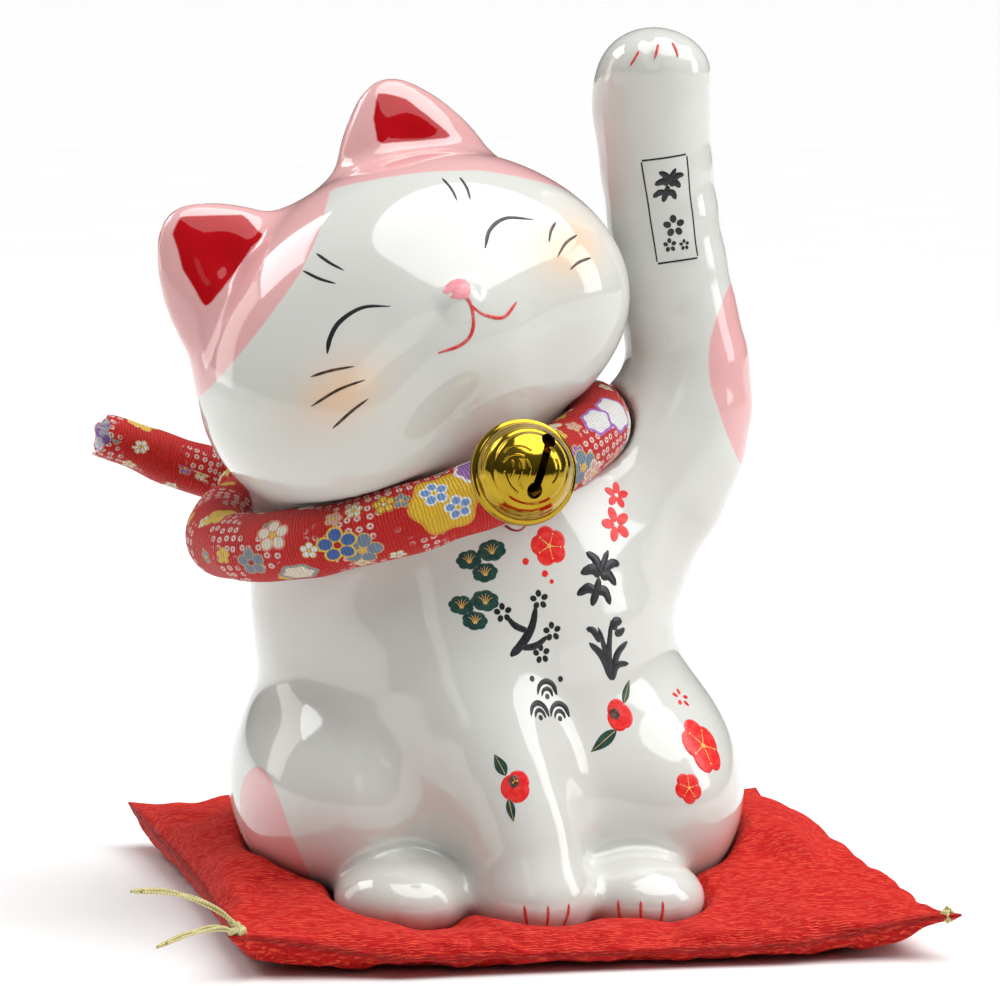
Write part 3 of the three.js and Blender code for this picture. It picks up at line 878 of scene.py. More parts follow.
def petal_outline(radius, petals, deep, turn, count, squash):
    """A flower's outline, whose notches go this deep a share of its radius."""
    angle = full_turn(count)
    lobe = np.abs(np.cos(petals * (angle - math.radians(turn)) / 2)) ** 0.6
    reach = radius * (1 - deep + deep * lobe)
    return np.stack([reach * np.cos(angle), reach * np.sin(angle) * squash], 1)


def ellipse_outline(centre, radii, turn=0.0, count=28):
    angle = full_turn(count)
    x, y = radii[0] * np.cos(angle), radii[1] * np.sin(angle)
    cos, sin = on_circle(turn)
    return np.stack([centre[0] + x * cos - y * sin, centre[1] + x * sin + y * cos], 1)


def leaf_outline(root, tip, width):
    root, tip = np.array(root, float), np.array(tip, float)
    along = tip - root
    side = np.array([-along[1], along[0]]) / np.linalg.norm(along)
    t = np.linspace(0, 1, 16)
    half = width / 2 * np.sin(np.pi * t ** 0.8)
    upper = root + t[:, None] * along + half[:, None] * side
    lower = root + t[::-1, None] * along - half[::-1, None] * side
    return np.vstack([upper, lower[1:-1]])


THICK_THIN = [(0, 0.25), (0.15, 0.9), (0.5, 1), (0.85, 0.7), (1, 0.1)]
TAPER = [(0, 1), (0.3, 0.9), (0.8, 0.5), (1, 0.1)]


BROWS = [
    [(-18.6, 29.4), (-18.4, 25.6), (-17.4, 21.8)], [(-23.9, 27.6), (-22.9, 23.6), (-21, 20.2)],
    [(20.3, 28), (19.4, 24.5), (17.7, 21)], [(24.4, 25.8), (23, 22.5), (20.8, 19.4)]]
EYES = [  # line and width
    ([(-33.8, 7), (-30.8, 9.9), (-26.4, 12), (-20.2, 11.8), (-14.8, 8.2)], 1.15),
    ([(14, 7.4), (19, 10.6), (25.2, 10.8), (31.5, 6.6)], 1.0)]
WHISKERS = [
    [(-40, 4.6), (-35.5, 3.1), (-30.6, 0.8)], [(-44, -1.6), (-37, -1.8), (-30.4, -3.4)],
    [(-43, -9), (-37.5, -8), (-32.4, -7.6)], [(36.4, 3.2), (33.2, 2), (30.3, -0.2)],
    [(39.2, -2.5), (34.5, -2.6), (29.5, -4.4)], [(38.6, -9.2), (34.5, -8.4), (30.7, -8.7)]]
NOSE = [(-3.2, 4.2), (-1.6, 5.2), (0.4, 5.5), (2.4, 5.1), (3.7, 3.8), (3.4, 2), (1.8, 0.4),
        (0.2, -0.3), (-1.4, 0.4), (-3, 1.8)]
MOUTH = [  # line, width at its start and count of points
    ([(0.2, -0.2), (0.2, -3.2), (-1.2, -6.4), (-3.8, -8.6), (-7.4, -9), (-12.8, -7.6)], 0.9, 48),
    ([(0.3, -2.2), (2.7, -6.3), (6.8, -9.2), (12.4, -7.8)], 0.6, 36)]
TOES = [  # x, z and turn of the stroke between two toes
    (-15.2, 11, 8), (-9.8, 10.8, 0), (-4.6, 11, -8), (9.6, 10.8, 5), (14.6, 11, 0), (20, 10.8, -4)]
FINGERS = [(22, 221.5, -22), (27.5, 223.5, -8), (32.6, 224, 4)]


def paint_face(black, red, umber, pink):
    face = Face()
    for brow in BROWS:
        black.stroke(face, brow, 0.8, THICK_THIN)
    for eye, width in EYES:
        black.stroke(face, eye, width, THICK_THIN, 40)
    for whisker in WHISKERS:
        umber.stroke(face, whisker, 0.75, THICK_THIN)
    pink.blob(face, NOSE)
    for line, first, count in MOUTH:
        red.stroke(face, line, 1.0, [(0, first), (0.5, 0.9), (0.85, 0.8), (1, 0.3)], count)


def paint_toes(red):
    for x, z, turn in TOES:
        red.stroke(Spot(x, z, turn), [(0, 3.2), (0.1, 0), (0, -3.4)], 0.75, THICK_THIN, 14)
    for x, z, turn in FINGERS:
        red.stroke(Spot(x, z, turn), [(0, 2.6), (0.1, 0), (0, -2.4)], 0.75, THICK_THIN, 12)


def paint_plum(red, gold, x, z, size, turn, squash=1.0):
    spot = Spot(x, z, turn, size)
    red.blob(spot, petal_outline(1, 5, 0.22, 20, 80, squash))
    for i in range(5):
        reach = on_circle(72 * i + 55) * (1, squash)
        gold.stroke(spot, [0.08 * reach, 0.34 * reach, 0.58 * reach], 0.06, TAPER, 8)
        gold.dot(spot, 0.62 * reach, 0.05)
    gold.dot(spot, (0, 0), 0.12, 12)


def paint_camellia(red, green, gold, brown, x, z, size, turn, leaves):
    spot = Spot(x, z, turn, size)
    for root, tip, width in leaves:
        green.blob(spot, leaf_outline(root, tip, width))
        middle = 0.45 * np.array(root) + 0.55 * np.array(tip)
        gold.stroke(spot, [root, middle, tip], 0.05, TAPER, 10)
    red.blob(spot, petal_outline(1, 3, 0.16, 90, 60, 1.12))
    brown.blob(spot, ellipse_outline((-0.28, 0.22), (0.36, 0.42), 30))
    for stamen in ((-0.4, 0.4), (-0.28, 0.14), (-0.12, 0.36), (-0.3, 0.3)):
        gold.dot(spot, stamen, 0.08)


def paint_petals(red, white, x, z, turn, size):
    spot = Spot(x, z, turn, size)
    for angle in range(18, 378, 72):
        red.blob(spot, ellipse_outline(on_circle(angle) * 2.6, (2.0, 1.3), angle, 22))
    white.dot(spot, (0, 0), 0.5)


def paint_pine(green, gold, x, z, turn):
    """Three cloud-shaped tufts of a pine branch, with fine needles."""
    spot = Spot(x, z, turn)
    for cx, cy, size in ((-3.2, 1.0, 3.5), (3.0, 2.4, 3.9), (0.3, -2.8, 3.5)):
        green.blob(spot, petal_outline(size, 7, 0.14, 10 * cx, 56, 0.72) + np.array([cx, cy]))
        for angle in range(38, 143, 26):
            tip = (cx, cy - 0.2 * size) + 0.72 * size * on_circle(angle)
            needle = [(cx, cy - 0.35 * size), ((cx + tip[0]) / 2, (cy + tip[1]) / 2), tip]
            gold.stroke(spot, needle, 0.26, TAPER, 8)


INK_WEIGHT = 1.55                      # share of the widths that the motifs' strokes name


def paint_brushwork(black, x, z, marks, turn):
    """A loose ink motif, drawn from strokes that are [points, width]."""
    spot = Spot(x, z, turn)
    for line, width in marks:
        black.stroke(spot, line, INK_WEIGHT * width, THICK_THIN, 18)


# Bamboo, grass and blossom in ink. They are ornaments only and spell nothing.
BAMBOO = [([(0, -8), (0.3, -3), (0, 0)], 1.7), ([(0, 0.7), (0.4, 4), (1.1, 8)], 1.5),
          ([(0.3, 0.2), (-2.6, 1.2), (-6.2, -1.4)], 2.0),
          ([(0.4, 0.8), (-2.4, 3.8), (-6, 4.6)], 1.8),
          ([(0.4, 0.2), (3, 1.8), (6.4, 0.2)], 2.0), ([(0.6, 1.6), (3.2, 5), (6.2, 6)], 1.7),
          ([(0.2, -3.6), (3, -2.8), (5.8, -5.4)], 1.9), ([(0, -3.8), (-2.6, -4), (-5.4, -7)], 1.8)]
ORCHID = [([(-1, -8), (-0.6, -1), (2.2, 7.6)], 1.4), ([(-1, -8), (-2.8, -1), (-6.4, 3.6)], 1.5),
          ([(-0.8, -8), (2, -2), (6.8, 0.6)], 1.5), ([(-1, -8), (-1.6, 0), (-2.6, 6.8)], 1.2),
          ([(-0.8, -8), (1.6, -4.6), (6, -5.2)], 1.3), ([(2, 4.6), (3.6, 6.4), (5.8, 5.8)], 1.8),
          ([(2.4, 3.8), (4.4, 3.4), (6.4, 4)], 1.4), ([(-2.8, 2.6), (-4.2, 6), (-6.4, 7.2)], 1.3)]
SPRAY = [([(-6.6, -6), (-2.6, -3.4), (1.2, 0.6), (3.4, 6.6)], 1.6),
         ([(-3.4, -4), (1.4, -4.2), (5.8, -2.0)], 1.2),
         ([(0.4, -0.4), (-3.2, 1.4), (-5.4, 4.2)], 1.2)]
SPRAY_BUDS = [(4.2, 7.2), (6.8, -1.2), (-6.2, 5.2), (3.0, -6.4)]
FANS = [(-3.7, -7.2), (3.7, -7.2), (0, -1.6)]


def ink_blossom(black, spot, x, z, size):
    """Five round petals of ink round an empty middle."""
    for angle in range(18, 378, 72):
        middle = (x, z) + 1.25 * size * on_circle(angle)
        black.blob(spot, ellipse_outline(middle, (0.72 * size, 0.6 * size), angle, 14))


def paint_spray(black, x, z, turn):
    """A flowering twig in ink."""
    paint_brushwork(black, x, z, SPRAY, turn)
    spot = Spot(x, z, turn)
    for u, v in SPRAY_BUDS:
        ink_blossom(black, spot, u, v, 1.3)


def paint_fans(black, x, z, turn):
    """Three fans of nested arcs, like stylised waves."""
    spot = Spot(x, z, turn)
    for u, v in FANS:
        for radius, width in ((3.5, 1.6), (2.0, 1.2)):
            arc = [(u, v) + radius * on_circle(angle) * (1, 1.25)
                   for angle in (8, 50, 90, 130, 172)]
            black.stroke(spot, arc, width, THICK_THIN, 18)
        black.blob(spot, ellipse_outline((u, v + 0.5), (0.8, 0.75), count=12))
    for u in (-4.6, 4.6):
        black.dot(spot, (u, 3.4), 0.8, 12)


def paint_arm_label(black):
    """A slim frame on the forearm with two small ink ornaments in it."""
    spot = Spot(33, 183, 9)
    half, tall = 6.0, 13.4
    corners = np.array([(-half, tall), (half, tall), (half, -tall), (-half, -tall)])
    for a, b in zip(corners, np.roll(corners, -1, axis=0)):
        black.stroke(spot, [a, (a + b) / 2, b], 0.5, [(0, 1), (1, 1)])
    for line, width in BAMBOO:
        small = [(0.5 * u + 0.24 * v, 0.54 * v - 0.2 * u + 6.3) for u, v in line]
        black.stroke(spot, small, 0.95 * width, THICK_THIN, 14)
    ink_blossom(black, spot, 0.2, -4.4, 1.5)
    ink_blossom(black, spot, -1.6, -9.2, 0.95)
    ink_blossom(black, spot, 2.4, -9.6, 0.75)


def paint_cat():
    black = Brush("paint_black", (0.012, 0.012, 0.014), 1, worn=(0.05, 0.05, 0.06), wear=0.3)
    red = Brush("paint_red", (0.74, 0.012, 0.014), 1, worn=(0.85, 0.10, 0.08), wear=0.5)
    mouth = Brush("paint_mouth", (0.62, 0.03, 0.025), 3)
    umber = Brush("paint_whiskers", (0.030, 0.012, 0.008), 1, worn=(0.35, 0.2, 0.12), wear=0.3)
    pink = Brush("paint_nose", (0.80, 0.26, 0.30), 1)
    green = Brush("paint_green", (0.012, 0.048, 0.040), 1, worn=(0.05, 0.13, 0.10), wear=0.5)
    brown = Brush("paint_brown", (0.07, 0.022, 0.014), 2)
    gold = Brush("paint_gold", (0.75, 0.42, 0.10), 2, worn=(0.9, 0.7, 0.3), wear=0.3)
    white = Brush("paint_white", (0.85, 0.85, 0.82), 2)
    paint_face(black, mouth, umber, pink)
    paint_toes(mouth)
    paint_plum(red, gold, -3.8, 99.6, 5.3, 10)
    for x, z, size in ((-10.3, 96, 0.9), (-5.2, 92.8, 0.9), (-3.4, 90.8, 0.6)):
        red.dot(Spot(x, z), (0, 0), size, 16)
    paint_petals(red, white, 16.2, 103.5, 10, 1.05)
    paint_petals(red, white, 17.0, 110.6, -14, 0.8)
    paint_pine(green, gold, -21.8, 96.2, 8)
    paint_pine(green, gold, -24.4, 84.6, -4)
    paint_brushwork(black, 10.2, 91, BAMBOO, -26)
    paint_brushwork(black, 13.0, 72.6, ORCHID, 10)
    paint_spray(black, -10.1, 79.0, 4)
    paint_fans(black, -5.3, 63.4, -6)
    paint_camellia(red, green, gold, brown, 15.3, 56, 4.0, 20,
                   [((-0.6, -0.7), (-3.1, -1.2), 0.85), ((0.7, 0.5), (1.9, 1.7), 0.6)])
    paint_camellia(red, green, gold, brown, -16.3, 42.2, 3.9, -30,
                   [((-0.9, 0.3), (-2.2, 1.2), 0.8), ((-0.1, -0.9), (0.9, -2.1), 0.6)])
    paint_plum(red, gold, 38.1, 47.4, 6.8, 0, 1.2)
    paint_plum(red, gold, 32.4, 38, 3.9, 30, 1.1)
    for angle in range(0, 360, 72):
        red.blob(Spot(34.4, 58.4), ellipse_outline(on_circle(angle) * 2.0, (0.95, 0.6), angle, 14))
    paint_arm_label(black)
    for brush in (black, red, mouth, umber, pink, green, brown, gold, white):
        brush.finish()


# ------------------------------------------------------------------ brocade

def flower_share(s, offset, radius, turn):
    """How far inside a flower's five petals each point is, in millimetres, and its distance out."""
    x, y = s.split(offset)[:2]
    reach = s.vector("LENGTH", offset)
    sector = 2 * math.pi / 5
    angle = s.plus(s.math("ARCTAN2", y, x), turn)
    folded = s.minus(s.math("FLOORED_MODULO", angle, sector), sector / 2)
    along = s.times_plus(reach, s.math("COSINE", folded), -0.60 * radius)
    aside = s.times(reach, s.math("SINE", folded))
    away = s.vector("LENGTH", s.pack(s.times(along, 0.92), aside))
    return s.minus(0.37 * radius, away), reach


def scattered_flowers(s, flat, tint, cell, radius, stops, outline, chance, shift):
    """A layer of small blossoms, one in each cell of the cloth, over the tint."""
    moved = s.vector("ADD", flat, shift)
    scaled = s.vector("SCALE", moved, 1 / cell)
    cells = s.node("ShaderNodeTexVoronoi", {"Vector": scaled, "Scale": 1.0, "Randomness": 0.75},
                   voronoi_dimensions="2D")
    offset = s.vector("SCALE", s.vector("SUBTRACT", scaled, cells.outputs["Position"]), cell)
    red_part, green_part, blue_part = s.split(cells.outputs["Color"])[:3]
    turn = s.times(red_part, 6.28)
    inside, reach = flower_share(s, offset, radius, turn)
    present = s.math("LESS_THAN", green_part, chance)
    petal = s.times(s.step(-0.12, 0.12, inside), present)
    rim = s.times(s.band(inside, 0.13, 0.1), present)
    heart = s.times(s.step(0.1, -0.1, s.minus(reach, 0.17 * radius)), present)
    tint = s.mix(petal, tint, s.pick(blue_part, stops))
    tint = s.mix(rim, tint, outline)
    return s.mix(heart, tint, (0.80, 0.55, 0.12))


def placed_flower(s, flat, tint, u, v, radius, colour, outline, heart):
    """One blossom at (u, v) on the cloth, over the tint."""
    offset = s.vector("SUBTRACT", flat, (u, v, 0))
    inside, reach = flower_share(s, offset, radius, 0.3)
    tint = s.mix(s.step(-0.12, 0.12, inside), tint, colour)
    tint = s.mix(s.band(inside, 0.24), tint, outline)
    return s.mix(s.step(0.14, -0.14, s.minus(reach, 0.19 * radius)), tint, heart)


def placed_patch(s, flat, tint, u, v, radii, colour, outline):
    """A cloud-edged patch of one colour, with an outline."""
    offset = s.vector("SUBTRACT", flat, (u, v, 0))
    offset = s.vector("MULTIPLY", offset, (1 / radii[0], 1 / radii[1], 0))
    x, y = s.split(offset)[:2]
    lobes = s.times(s.math("COSINE", s.times(s.math("ARCTAN2", y, x), 6)), 0.07)
    inside = s.times(s.minus(s.plus(lobes, 0.93), s.vector("LENGTH", offset)), min(radii))
    tint = s.mix(s.step(-0.12, 0.12, inside), tint, colour)
    return s.mix(s.band(inside, 0.4), tint, outline)


CREAM, GOLDEN, SLATE = (0.86, 0.78, 0.62), (0.86, 0.58, 0.06), (0.20, 0.27, 0.36)
VIOLET, ROSE, SNOW = (0.36, 0.16, 0.50), (0.80, 0.40, 0.38), (0.88, 0.87, 0.84)
SMALL_STOPS = [(0, CREAM), (0.28, SNOW), (0.5, GOLDEN), (0.66, ROSE), (0.8, SLATE), (0.92, VIOLET)]
BIG_STOPS = [(0, SLATE), (0.22, GOLDEN), (0.42, CREAM), (0.62, ROSE), (0.76, VIOLET), (0.88, SNOW)]
RIB_RATE = 6.28 / 0.8                  # one rib of the weave each 0.8 millimetres


def brocade_material(name, placed, patches, seed, big_chance):
    """Red silk brocade: ribs round the band, scattered blossoms and clusters of dappled rings."""
    s = Shader(name, Sheen_Weight=0.06, Sheen_Roughness=0.4, Specular_IOR_Level=0.3)
    flat = s.cloth_map()
    along, across = s.split(flat)[:2]
    seeded = s.vector("ADD", flat, (seed, 0.4 * seed, 0))
    tint = s.mix(s.noise(seeded, 0.09, 3), (0.50, 0.004, 0.004), (0.72, 0.016, 0.010))
    clouds = s.step(0.50, 0.54, s.noise(seeded, 0.06, 2, 0.4))
    dapple = {"Vector": s.vector("SCALE", seeded, 1 / 2.5), "Scale": 1.0, "Randomness": 0.3}
    spots = s.node("ShaderNodeTexVoronoi", dapple, voronoi_dimensions="2D").outputs["Distance"]
    ring = s.times(s.step(0.36, 0.28, spots), s.step(0.08, 0.15, spots))
    tint = s.mix(s.times(ring, clouds), tint, (0.82, 0.62, 0.56))
    tint = scattered_flowers(s, seeded, tint, 7.5, 2.1, SMALL_STOPS, (0.70, 0.42, 0.12), 0.42,
                             (7, 3, 0))
    tint = scattered_flowers(s, seeded, tint, 17, 4.6, BIG_STOPS, (0.78, 0.52, 0.16), big_chance,
                             (31, 11, 0))
    for patch in patches:
        tint = placed_patch(s, flat, tint, *patch)
    for flower in placed:
        tint = placed_flower(s, flat, tint, *flower)
    wobble = s.noise(seeded, 0.5, 2)
    rib = s.wave(s.plus(along, wobble), RIB_RATE)
    thread = s.wave(s.plus(across, wobble), RIB_RATE)
    weave = s.plus(s.times(rib, 0.65), s.times(s.times(rib, thread), 0.35))
    # painted shade: the tint is darkened where the weave dips, following the same height as the
    # bump
    shade = s.times_plus(weave, 0.20, 0.82)
    tint = s.mix(1.0, tint, s.pack(shade, shade, shade), "MULTIPLY")
    relief = s.bump(weave, 0.25, 0.8)
    soft = s.bump(s.noise(seeded, 0.12, 3), 0.8, 0.35, relief)
    rough = s.times_plus(s.noise(seeded, 0.8, 2), 0.25, 0.42)
    return s.finish(Base_Color=tint, Normal=soft, Roughness=rough)


def lining_material():
    s = Shader("tail_lining", Sheen_Weight=0.2, Sheen_Roughness=0.5)
    flat = s.cloth_map()
    tint = s.mix(s.step(0.45, 0.55, s.noise(flat, 0.3, 2)), (0.80, 0.78, 0.80), (0.40, 0.24, 0.55))
    weave = s.wave(s.split(flat)[1], 7.0)
    rough = s.times_plus(weave, 0.05, 0.65)
    return s.finish(Base_Color=tint, Roughness=rough, Normal=s.bump(weave, 0.12, 0.6))


def tube_wrinkles(along, angle, strength, seed):
    """Soft folds that run round and along a stuffed tube."""
    rng = np.random.default_rng(seed)
    total = np.zeros(np.broadcast(along, angle).shape)
    for _ in range(14):
        turns = rng.integers(0, 4)
        height = rng.uniform(0.2, 1)
        total += height * np.sin(along * rng.uniform(0.12, 0.5) + turns * angle
                                 + rng.uniform(0, 6.3))
    return strength * total / 3


COLLAR_FLOWERS = [  # (along, across, radius, petals' colour, outline, heart)
    (110.5, 34.0, 3.3, (0.20, 0.36, 0.70), SNOW, (0.86, 0.58, 0.06)),
    (114.5, 28.5, 3.0, (0.20, 0.36, 0.70), SNOW, (0.86, 0.58, 0.06)),
    (87.0, 27.5, 4.6, (0.06, 0.14, 0.42), GOLDEN, (0.50, 0.01, 0.01)),
    (71.8, 33.0, 4.2, CREAM, (0.80, 0.30, 0.20), GOLDEN),
    (65.0, 26.5, 3.8, (0.22, 0.27, 0.34), (0.45, 0.36, 0.25), (0.40, 0.02, 0.02)),
    (99.0, 35.0, 2.6, GOLDEN, (0.55, 0.25, 0.03), CREAM),
    (151.0, 22.0, 3.4, ROSE, CREAM, GOLDEN),
    (178.0, 20.0, 3.2, SLATE, CREAM, SNOW)]
COLLAR_PATCHES = [  # (along, across, radii, colour, outline)
    (112.0, 31.0, (8.0, 8.5), (0.84, 0.52, 0.03), (0.80, 0.40, 0.03)),
    (120.5, 37.5, (3.6, 4.2), VIOLET, SNOW),
    (168.5, 32.0, (6.5, 5.5), SNOW, (0.42, 0.16, 0.55)),
    (159.5, 33.5, (5.0, 4.0), SNOW, (0.42, 0.16, 0.55)),
    (75.5, 21.5, (4.6, 3.0), CREAM, (0.34, 0.33, 0.30))]


def make_collar():
    """The padded sleeve goes round the neck from the knot and back to it."""
    line = collar_point(np.linspace(KNOT_ANGLE + 5, KNOT_ANGLE + 355, 300))
    wrinkles = tube_wrinkles(arc_length(line)[:, None], full_turn(56)[None], 0.28, 3)
    sleeve = swept(line, COLLAR_TUBE - 0.25 + wrinkles, 56, COLLAR_AXIS)
    collar = mesh_piece("brocade_collar", sleeve, "cat")
    put_on(collar, brocade_material("collar_brocade", COLLAR_FLOWERS, COLLAR_PATCHES, 0.0, 0.22))
    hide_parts("collar_sleeve", "collar_padding")
    seam = smooth_line(line[::6], 400)
    inner = COLLAR_CENTRE + (seam - COLLAR_CENTRE) * 0.83
    ridge = swept(inner - COLLAR_AXIS * 3.2, 0.35, 6, COLLAR_AXIS)
    hem = mesh_piece("collar_seam", ridge, "cat")
    put_on(hem, brocade_material("seam_brocade", (), (), 40.0, 0.0))


def ring_line(centre, axis, radii, start, sweep, count):
    """Part of an ellipse round an axis."""
    axis = np.asarray(axis, float) / np.linalg.norm(axis)
    a = np.cross(axis, (0, 0, 1.0))
    a /= np.linalg.norm(a)
    b = np.cross(a, axis)
    angle = np.radians(np.linspace(start, start + sweep, count))[:, None]
    return centre + radii[0] * np.cos(angle) * a + radii[1] * np.sin(angle) * b


def make_knot():
    """Two turns of the band wrapped over the collar's ends, with the second turn leaning."""
    centre = collar_point(np.array(KNOT_ANGLE))
    tangent = collar_point(np.array(KNOT_ANGLE + 1)) - collar_point(np.array(KNOT_ANGLE - 1))
    tangent /= np.linalg.norm(tangent)
    parts = []
    for lean, shift, girth in ((0.18, -2.2, 5.2), (-0.3, 2.8, 4.8)):
        axis = tangent + lean * np.array([0, 0, 1.0])
        line = ring_line(centre + shift * tangent, axis, (6.4, 6.6), 20 * shift, 372, 90)
        wrinkles = tube_wrinkles(arc_length(line)[:, None] * 2, full_turn(36)[None], 0.5,
                                 int(10 + shift))
        parts.append(swept(line, girth + wrinkles, 36, tangent))
    knot = mesh_piece("collar_bow_knot", joined(parts), "cat")
    put_on(knot, brocade_material("knot_brocade", (), (), 77.0, 0.4))
    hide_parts("collar_knot")


TAIL_RADIUS = 7.4
TAIL_SIDES = 48
LINED_FROM = 20                        # the lining starts at this row of the outside
RIGHT_TAIL = [(-65.7, 35.2, 108.7), (-74, 40, 108.5), (-88, 41.5, 113), (-105, 40, 119.5)]
BACK_TAIL = [(-64.7, 34.7, 93.7), (-55, 47, 84), (-45, 55, 74), (-41, 59, 60)]


def make_tail(name, stations, node, seed, motifs):
    """An open sleeve, with its lining showing at the cut end, a little flattened there."""
    line = smooth_line(stations, 90)
    tangent, side, top = frames_along(line)
    angle = full_turn(TAIL_SIDES)
    share = np.linspace(0, 1, len(line))[:, None]
    along = arc_length(line)[:, None]
    folds = tube_wrinkles(along, angle[None], 0.35, seed)
    outer = TAIL_RADIUS - 0.5 + folds - 1.4 * smoothstep(0.25, 0.0, share)
    squash = 1 - 0.16 * smoothstep(0.5, 1, share)
    rim = 0.7 * np.sin(3 * angle + seed) + 0.4 * np.sin(7 * angle)

    def shell(radius, rows):
        ring = (radius[..., None] * (np.cos(angle)[None, :, None] * side[:, None]
                                     + (squash * np.sin(angle))[..., None] * top[:, None]))
        points = line[:, None] + ring
        points[-8:] += (np.linspace(0, 1, 8)[:, None] * rim[None])[..., None] * tangent[-8:, None]
        return points[rows]

    points = np.concatenate([shell(outer, slice(None)),
                             shell(outer - 0.9, slice(None, LINED_FROM, -1))])
    faces = grid_faces(len(points), TAIL_SIDES, False, True)
    faces.append(tuple((len(points) - 1) * TAIL_SIDES + i for i in range(TAIL_SIDES)))
    faces.append(tuple(range(TAIL_SIDES - 1, -1, -1)))
    girth = 2 * np.pi * TAIL_RADIUS
    around = half_turned(angle) * girth
    lengths = np.concatenate([along, along[:LINED_FROM:-1]])
    uv = np.stack(np.broadcast_arrays(lengths, around[None], girth), -1)
    shape = points.reshape(-1, 3), faces, uv.reshape(-1, 3)
    tail = mesh_piece(name, shape, "cat")
    put_on(tail, brocade_material(name + "_brocade", *motifs, 13.0 * seed, 0.08), lining_material())
    for face in tail.data.polygons:
        if min(face.vertices) >= len(line) * TAIL_SIDES:
            face.material_index = 1
    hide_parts(node)


DEEP_RED = (0.50, 0.008, 0.008)
TAIL_FLOWERS = [(35, 30, 3.0, SNOW, GOLDEN, GOLDEN), (39, 21, 2.6, SLATE, CREAM, SNOW),
                (32, 34, 2.4, ROSE, CREAM, SNOW)]
TAIL_PATCHES = [(27, 25.5, (3.3, 3.4), DEEP_RED, (0.85, 0.55, 0.50)),
                (22, 26.0, (3.3, 3.4), DEEP_RED, (0.85, 0.55, 0.50))]


# ------------------------------------------------------------------ the bell

BELL_RADIUS, BELL_LIP = 12.2, 13.2
BELL_WALL, BELL_GAP = 0.8, 0.15        # the gap is from the bell's middle plane to each shell
DOME_STEPS = 70
BELL_CENTRE = np.array([-18.04, -77.12, 121.87])
BELL_OUT = np.array([-0.02, -0.97, 0.24]) / np.linalg.norm([-0.02, -0.97, 0.24])
COLLAR_AT_BELL = np.array([-17.51, -51.69, 115.58])
TIE_TANGENT = np.array([0.9087, 0.2796, 0.3099])
LOOP_REACH = 11.9


def bell_frame(points):
    """From the bell's own frame, with -Y out of its face and Z up, to the world."""
    side = np.cross(BELL_OUT, (0, 0, 1.0))
    side /= -np.linalg.norm(side)
    up = np.cross(side, -BELL_OUT)
    return BELL_CENTRE + points[:, :1] * side + points[:, 1:2] * -BELL_OUT + points[:, 2:] * up


def gold_material(name):
    s = Shader(name, Metallic=1.0)
    place = s.where()
    haze = s.noise(place, 0.25, 4)
    scuff = s.step(0.6, 0.75, s.noise(place, 1.6, 3))
    # painted reflection: the gold is coloured far darker than bright gold, standing in for the dim
    # room that it reflects; the haze varies its tone
    tint = s.mix(haze, (0.37, 0.24, 0.015), (0.47, 0.31, 0.03))
    tint = s.mix(s.times(scuff, 0.35), tint, (0.26, 0.14, 0.02))
    rough = s.times_plus(haze, 0.10, 0.07)
    ripple = s.bump(s.noise(place, 0.14, 2), 0.5, 0.5)
    dents = s.bump(s.noise(place, 1.1, 2), 0.03, 0.5, ripple)
    return s.finish(Base_Color=tint, Roughness=rough, Normal=dents)


def turned_groove(radius):
    """Depth of the two rings turned into the face of each shell."""
    inner = 0.42 * math.exp(-((radius - 9.1) / 0.4) ** 2)
    return inner + 0.3 * math.exp(-((radius - 11.2) / 0.25) ** 2)


def dome_line(radius, angles, depth):
    """A dome's (radius, height) points, with grooves of this depth at each radius."""
    line = []
    for angle in np.radians(angles):
        reach = radius * math.cos(angle)
        line.append((reach, BELL_GAP + radius * math.sin(angle) - depth(reach)))
    return line


def bell_dome(sign):
    """Half of the bell as a closed lathe profile, with a rolled rim."""
    outer = dome_line(BELL_RADIUS, np.linspace(90, 8, DOME_STEPS), turned_groove)
    rim = [(BELL_RADIUS + 0.25, 1.55), (BELL_RADIUS + 0.75, 1.45), (BELL_LIP - 0.05, 1.0),
           (BELL_LIP, 0.6), (BELL_LIP - 0.1, 0.25), (BELL_LIP - 0.35, BELL_GAP)]
    inner = dome_line(BELL_RADIUS - BELL_WALL, np.linspace(0, 90, DOME_STEPS), lambda reach: 0)
    profile = [(max(r, 0.02), h * sign) for r, h in outer + rim + inner]
    points, faces = lathe(profile, 96)
    points = points[:, [0, 2, 1]]
    return points, outward(points, faces)


SLOT_HALF, SLOT_WIDTH, SLOT_EYE, SLOT_TURN = 6.6, 2.0, 1.9, 19
SLOT_PLACE = (2.6, 0.4)
RELIEF = [  # raised scrolls on the bell's face, as (x, z) points
    [(-6.6, 3.6), (-5.2, 4.9), (-3.4, 5.2), (-1.6, 4.8), (-0.2, 3.8)],
    [(-7.0, 1.2), (-5.4, 2.6), (-3.6, 2.9), (-2.0, 2.4)], [(-5.0, 1.6), (-4.6, -0.6), (-5.4, -2.8)],
    [(-3.2, 1.8), (-2.8, -1.0), (-3.4, -3.8), (-2.4, -5.4)],
    [(-1.6, 1.6), (-0.8, -0.4), (-1.2, -2.6)], [(-6.8, -1.0), (-5.6, -4.2), (-3.6, -6.4)],
    [(6.0, 2.0), (6.6, 0.0), (6.2, -2.4), (5.0, -4.2)], [(4.6, 4.8), (5.8, 3.6)]]


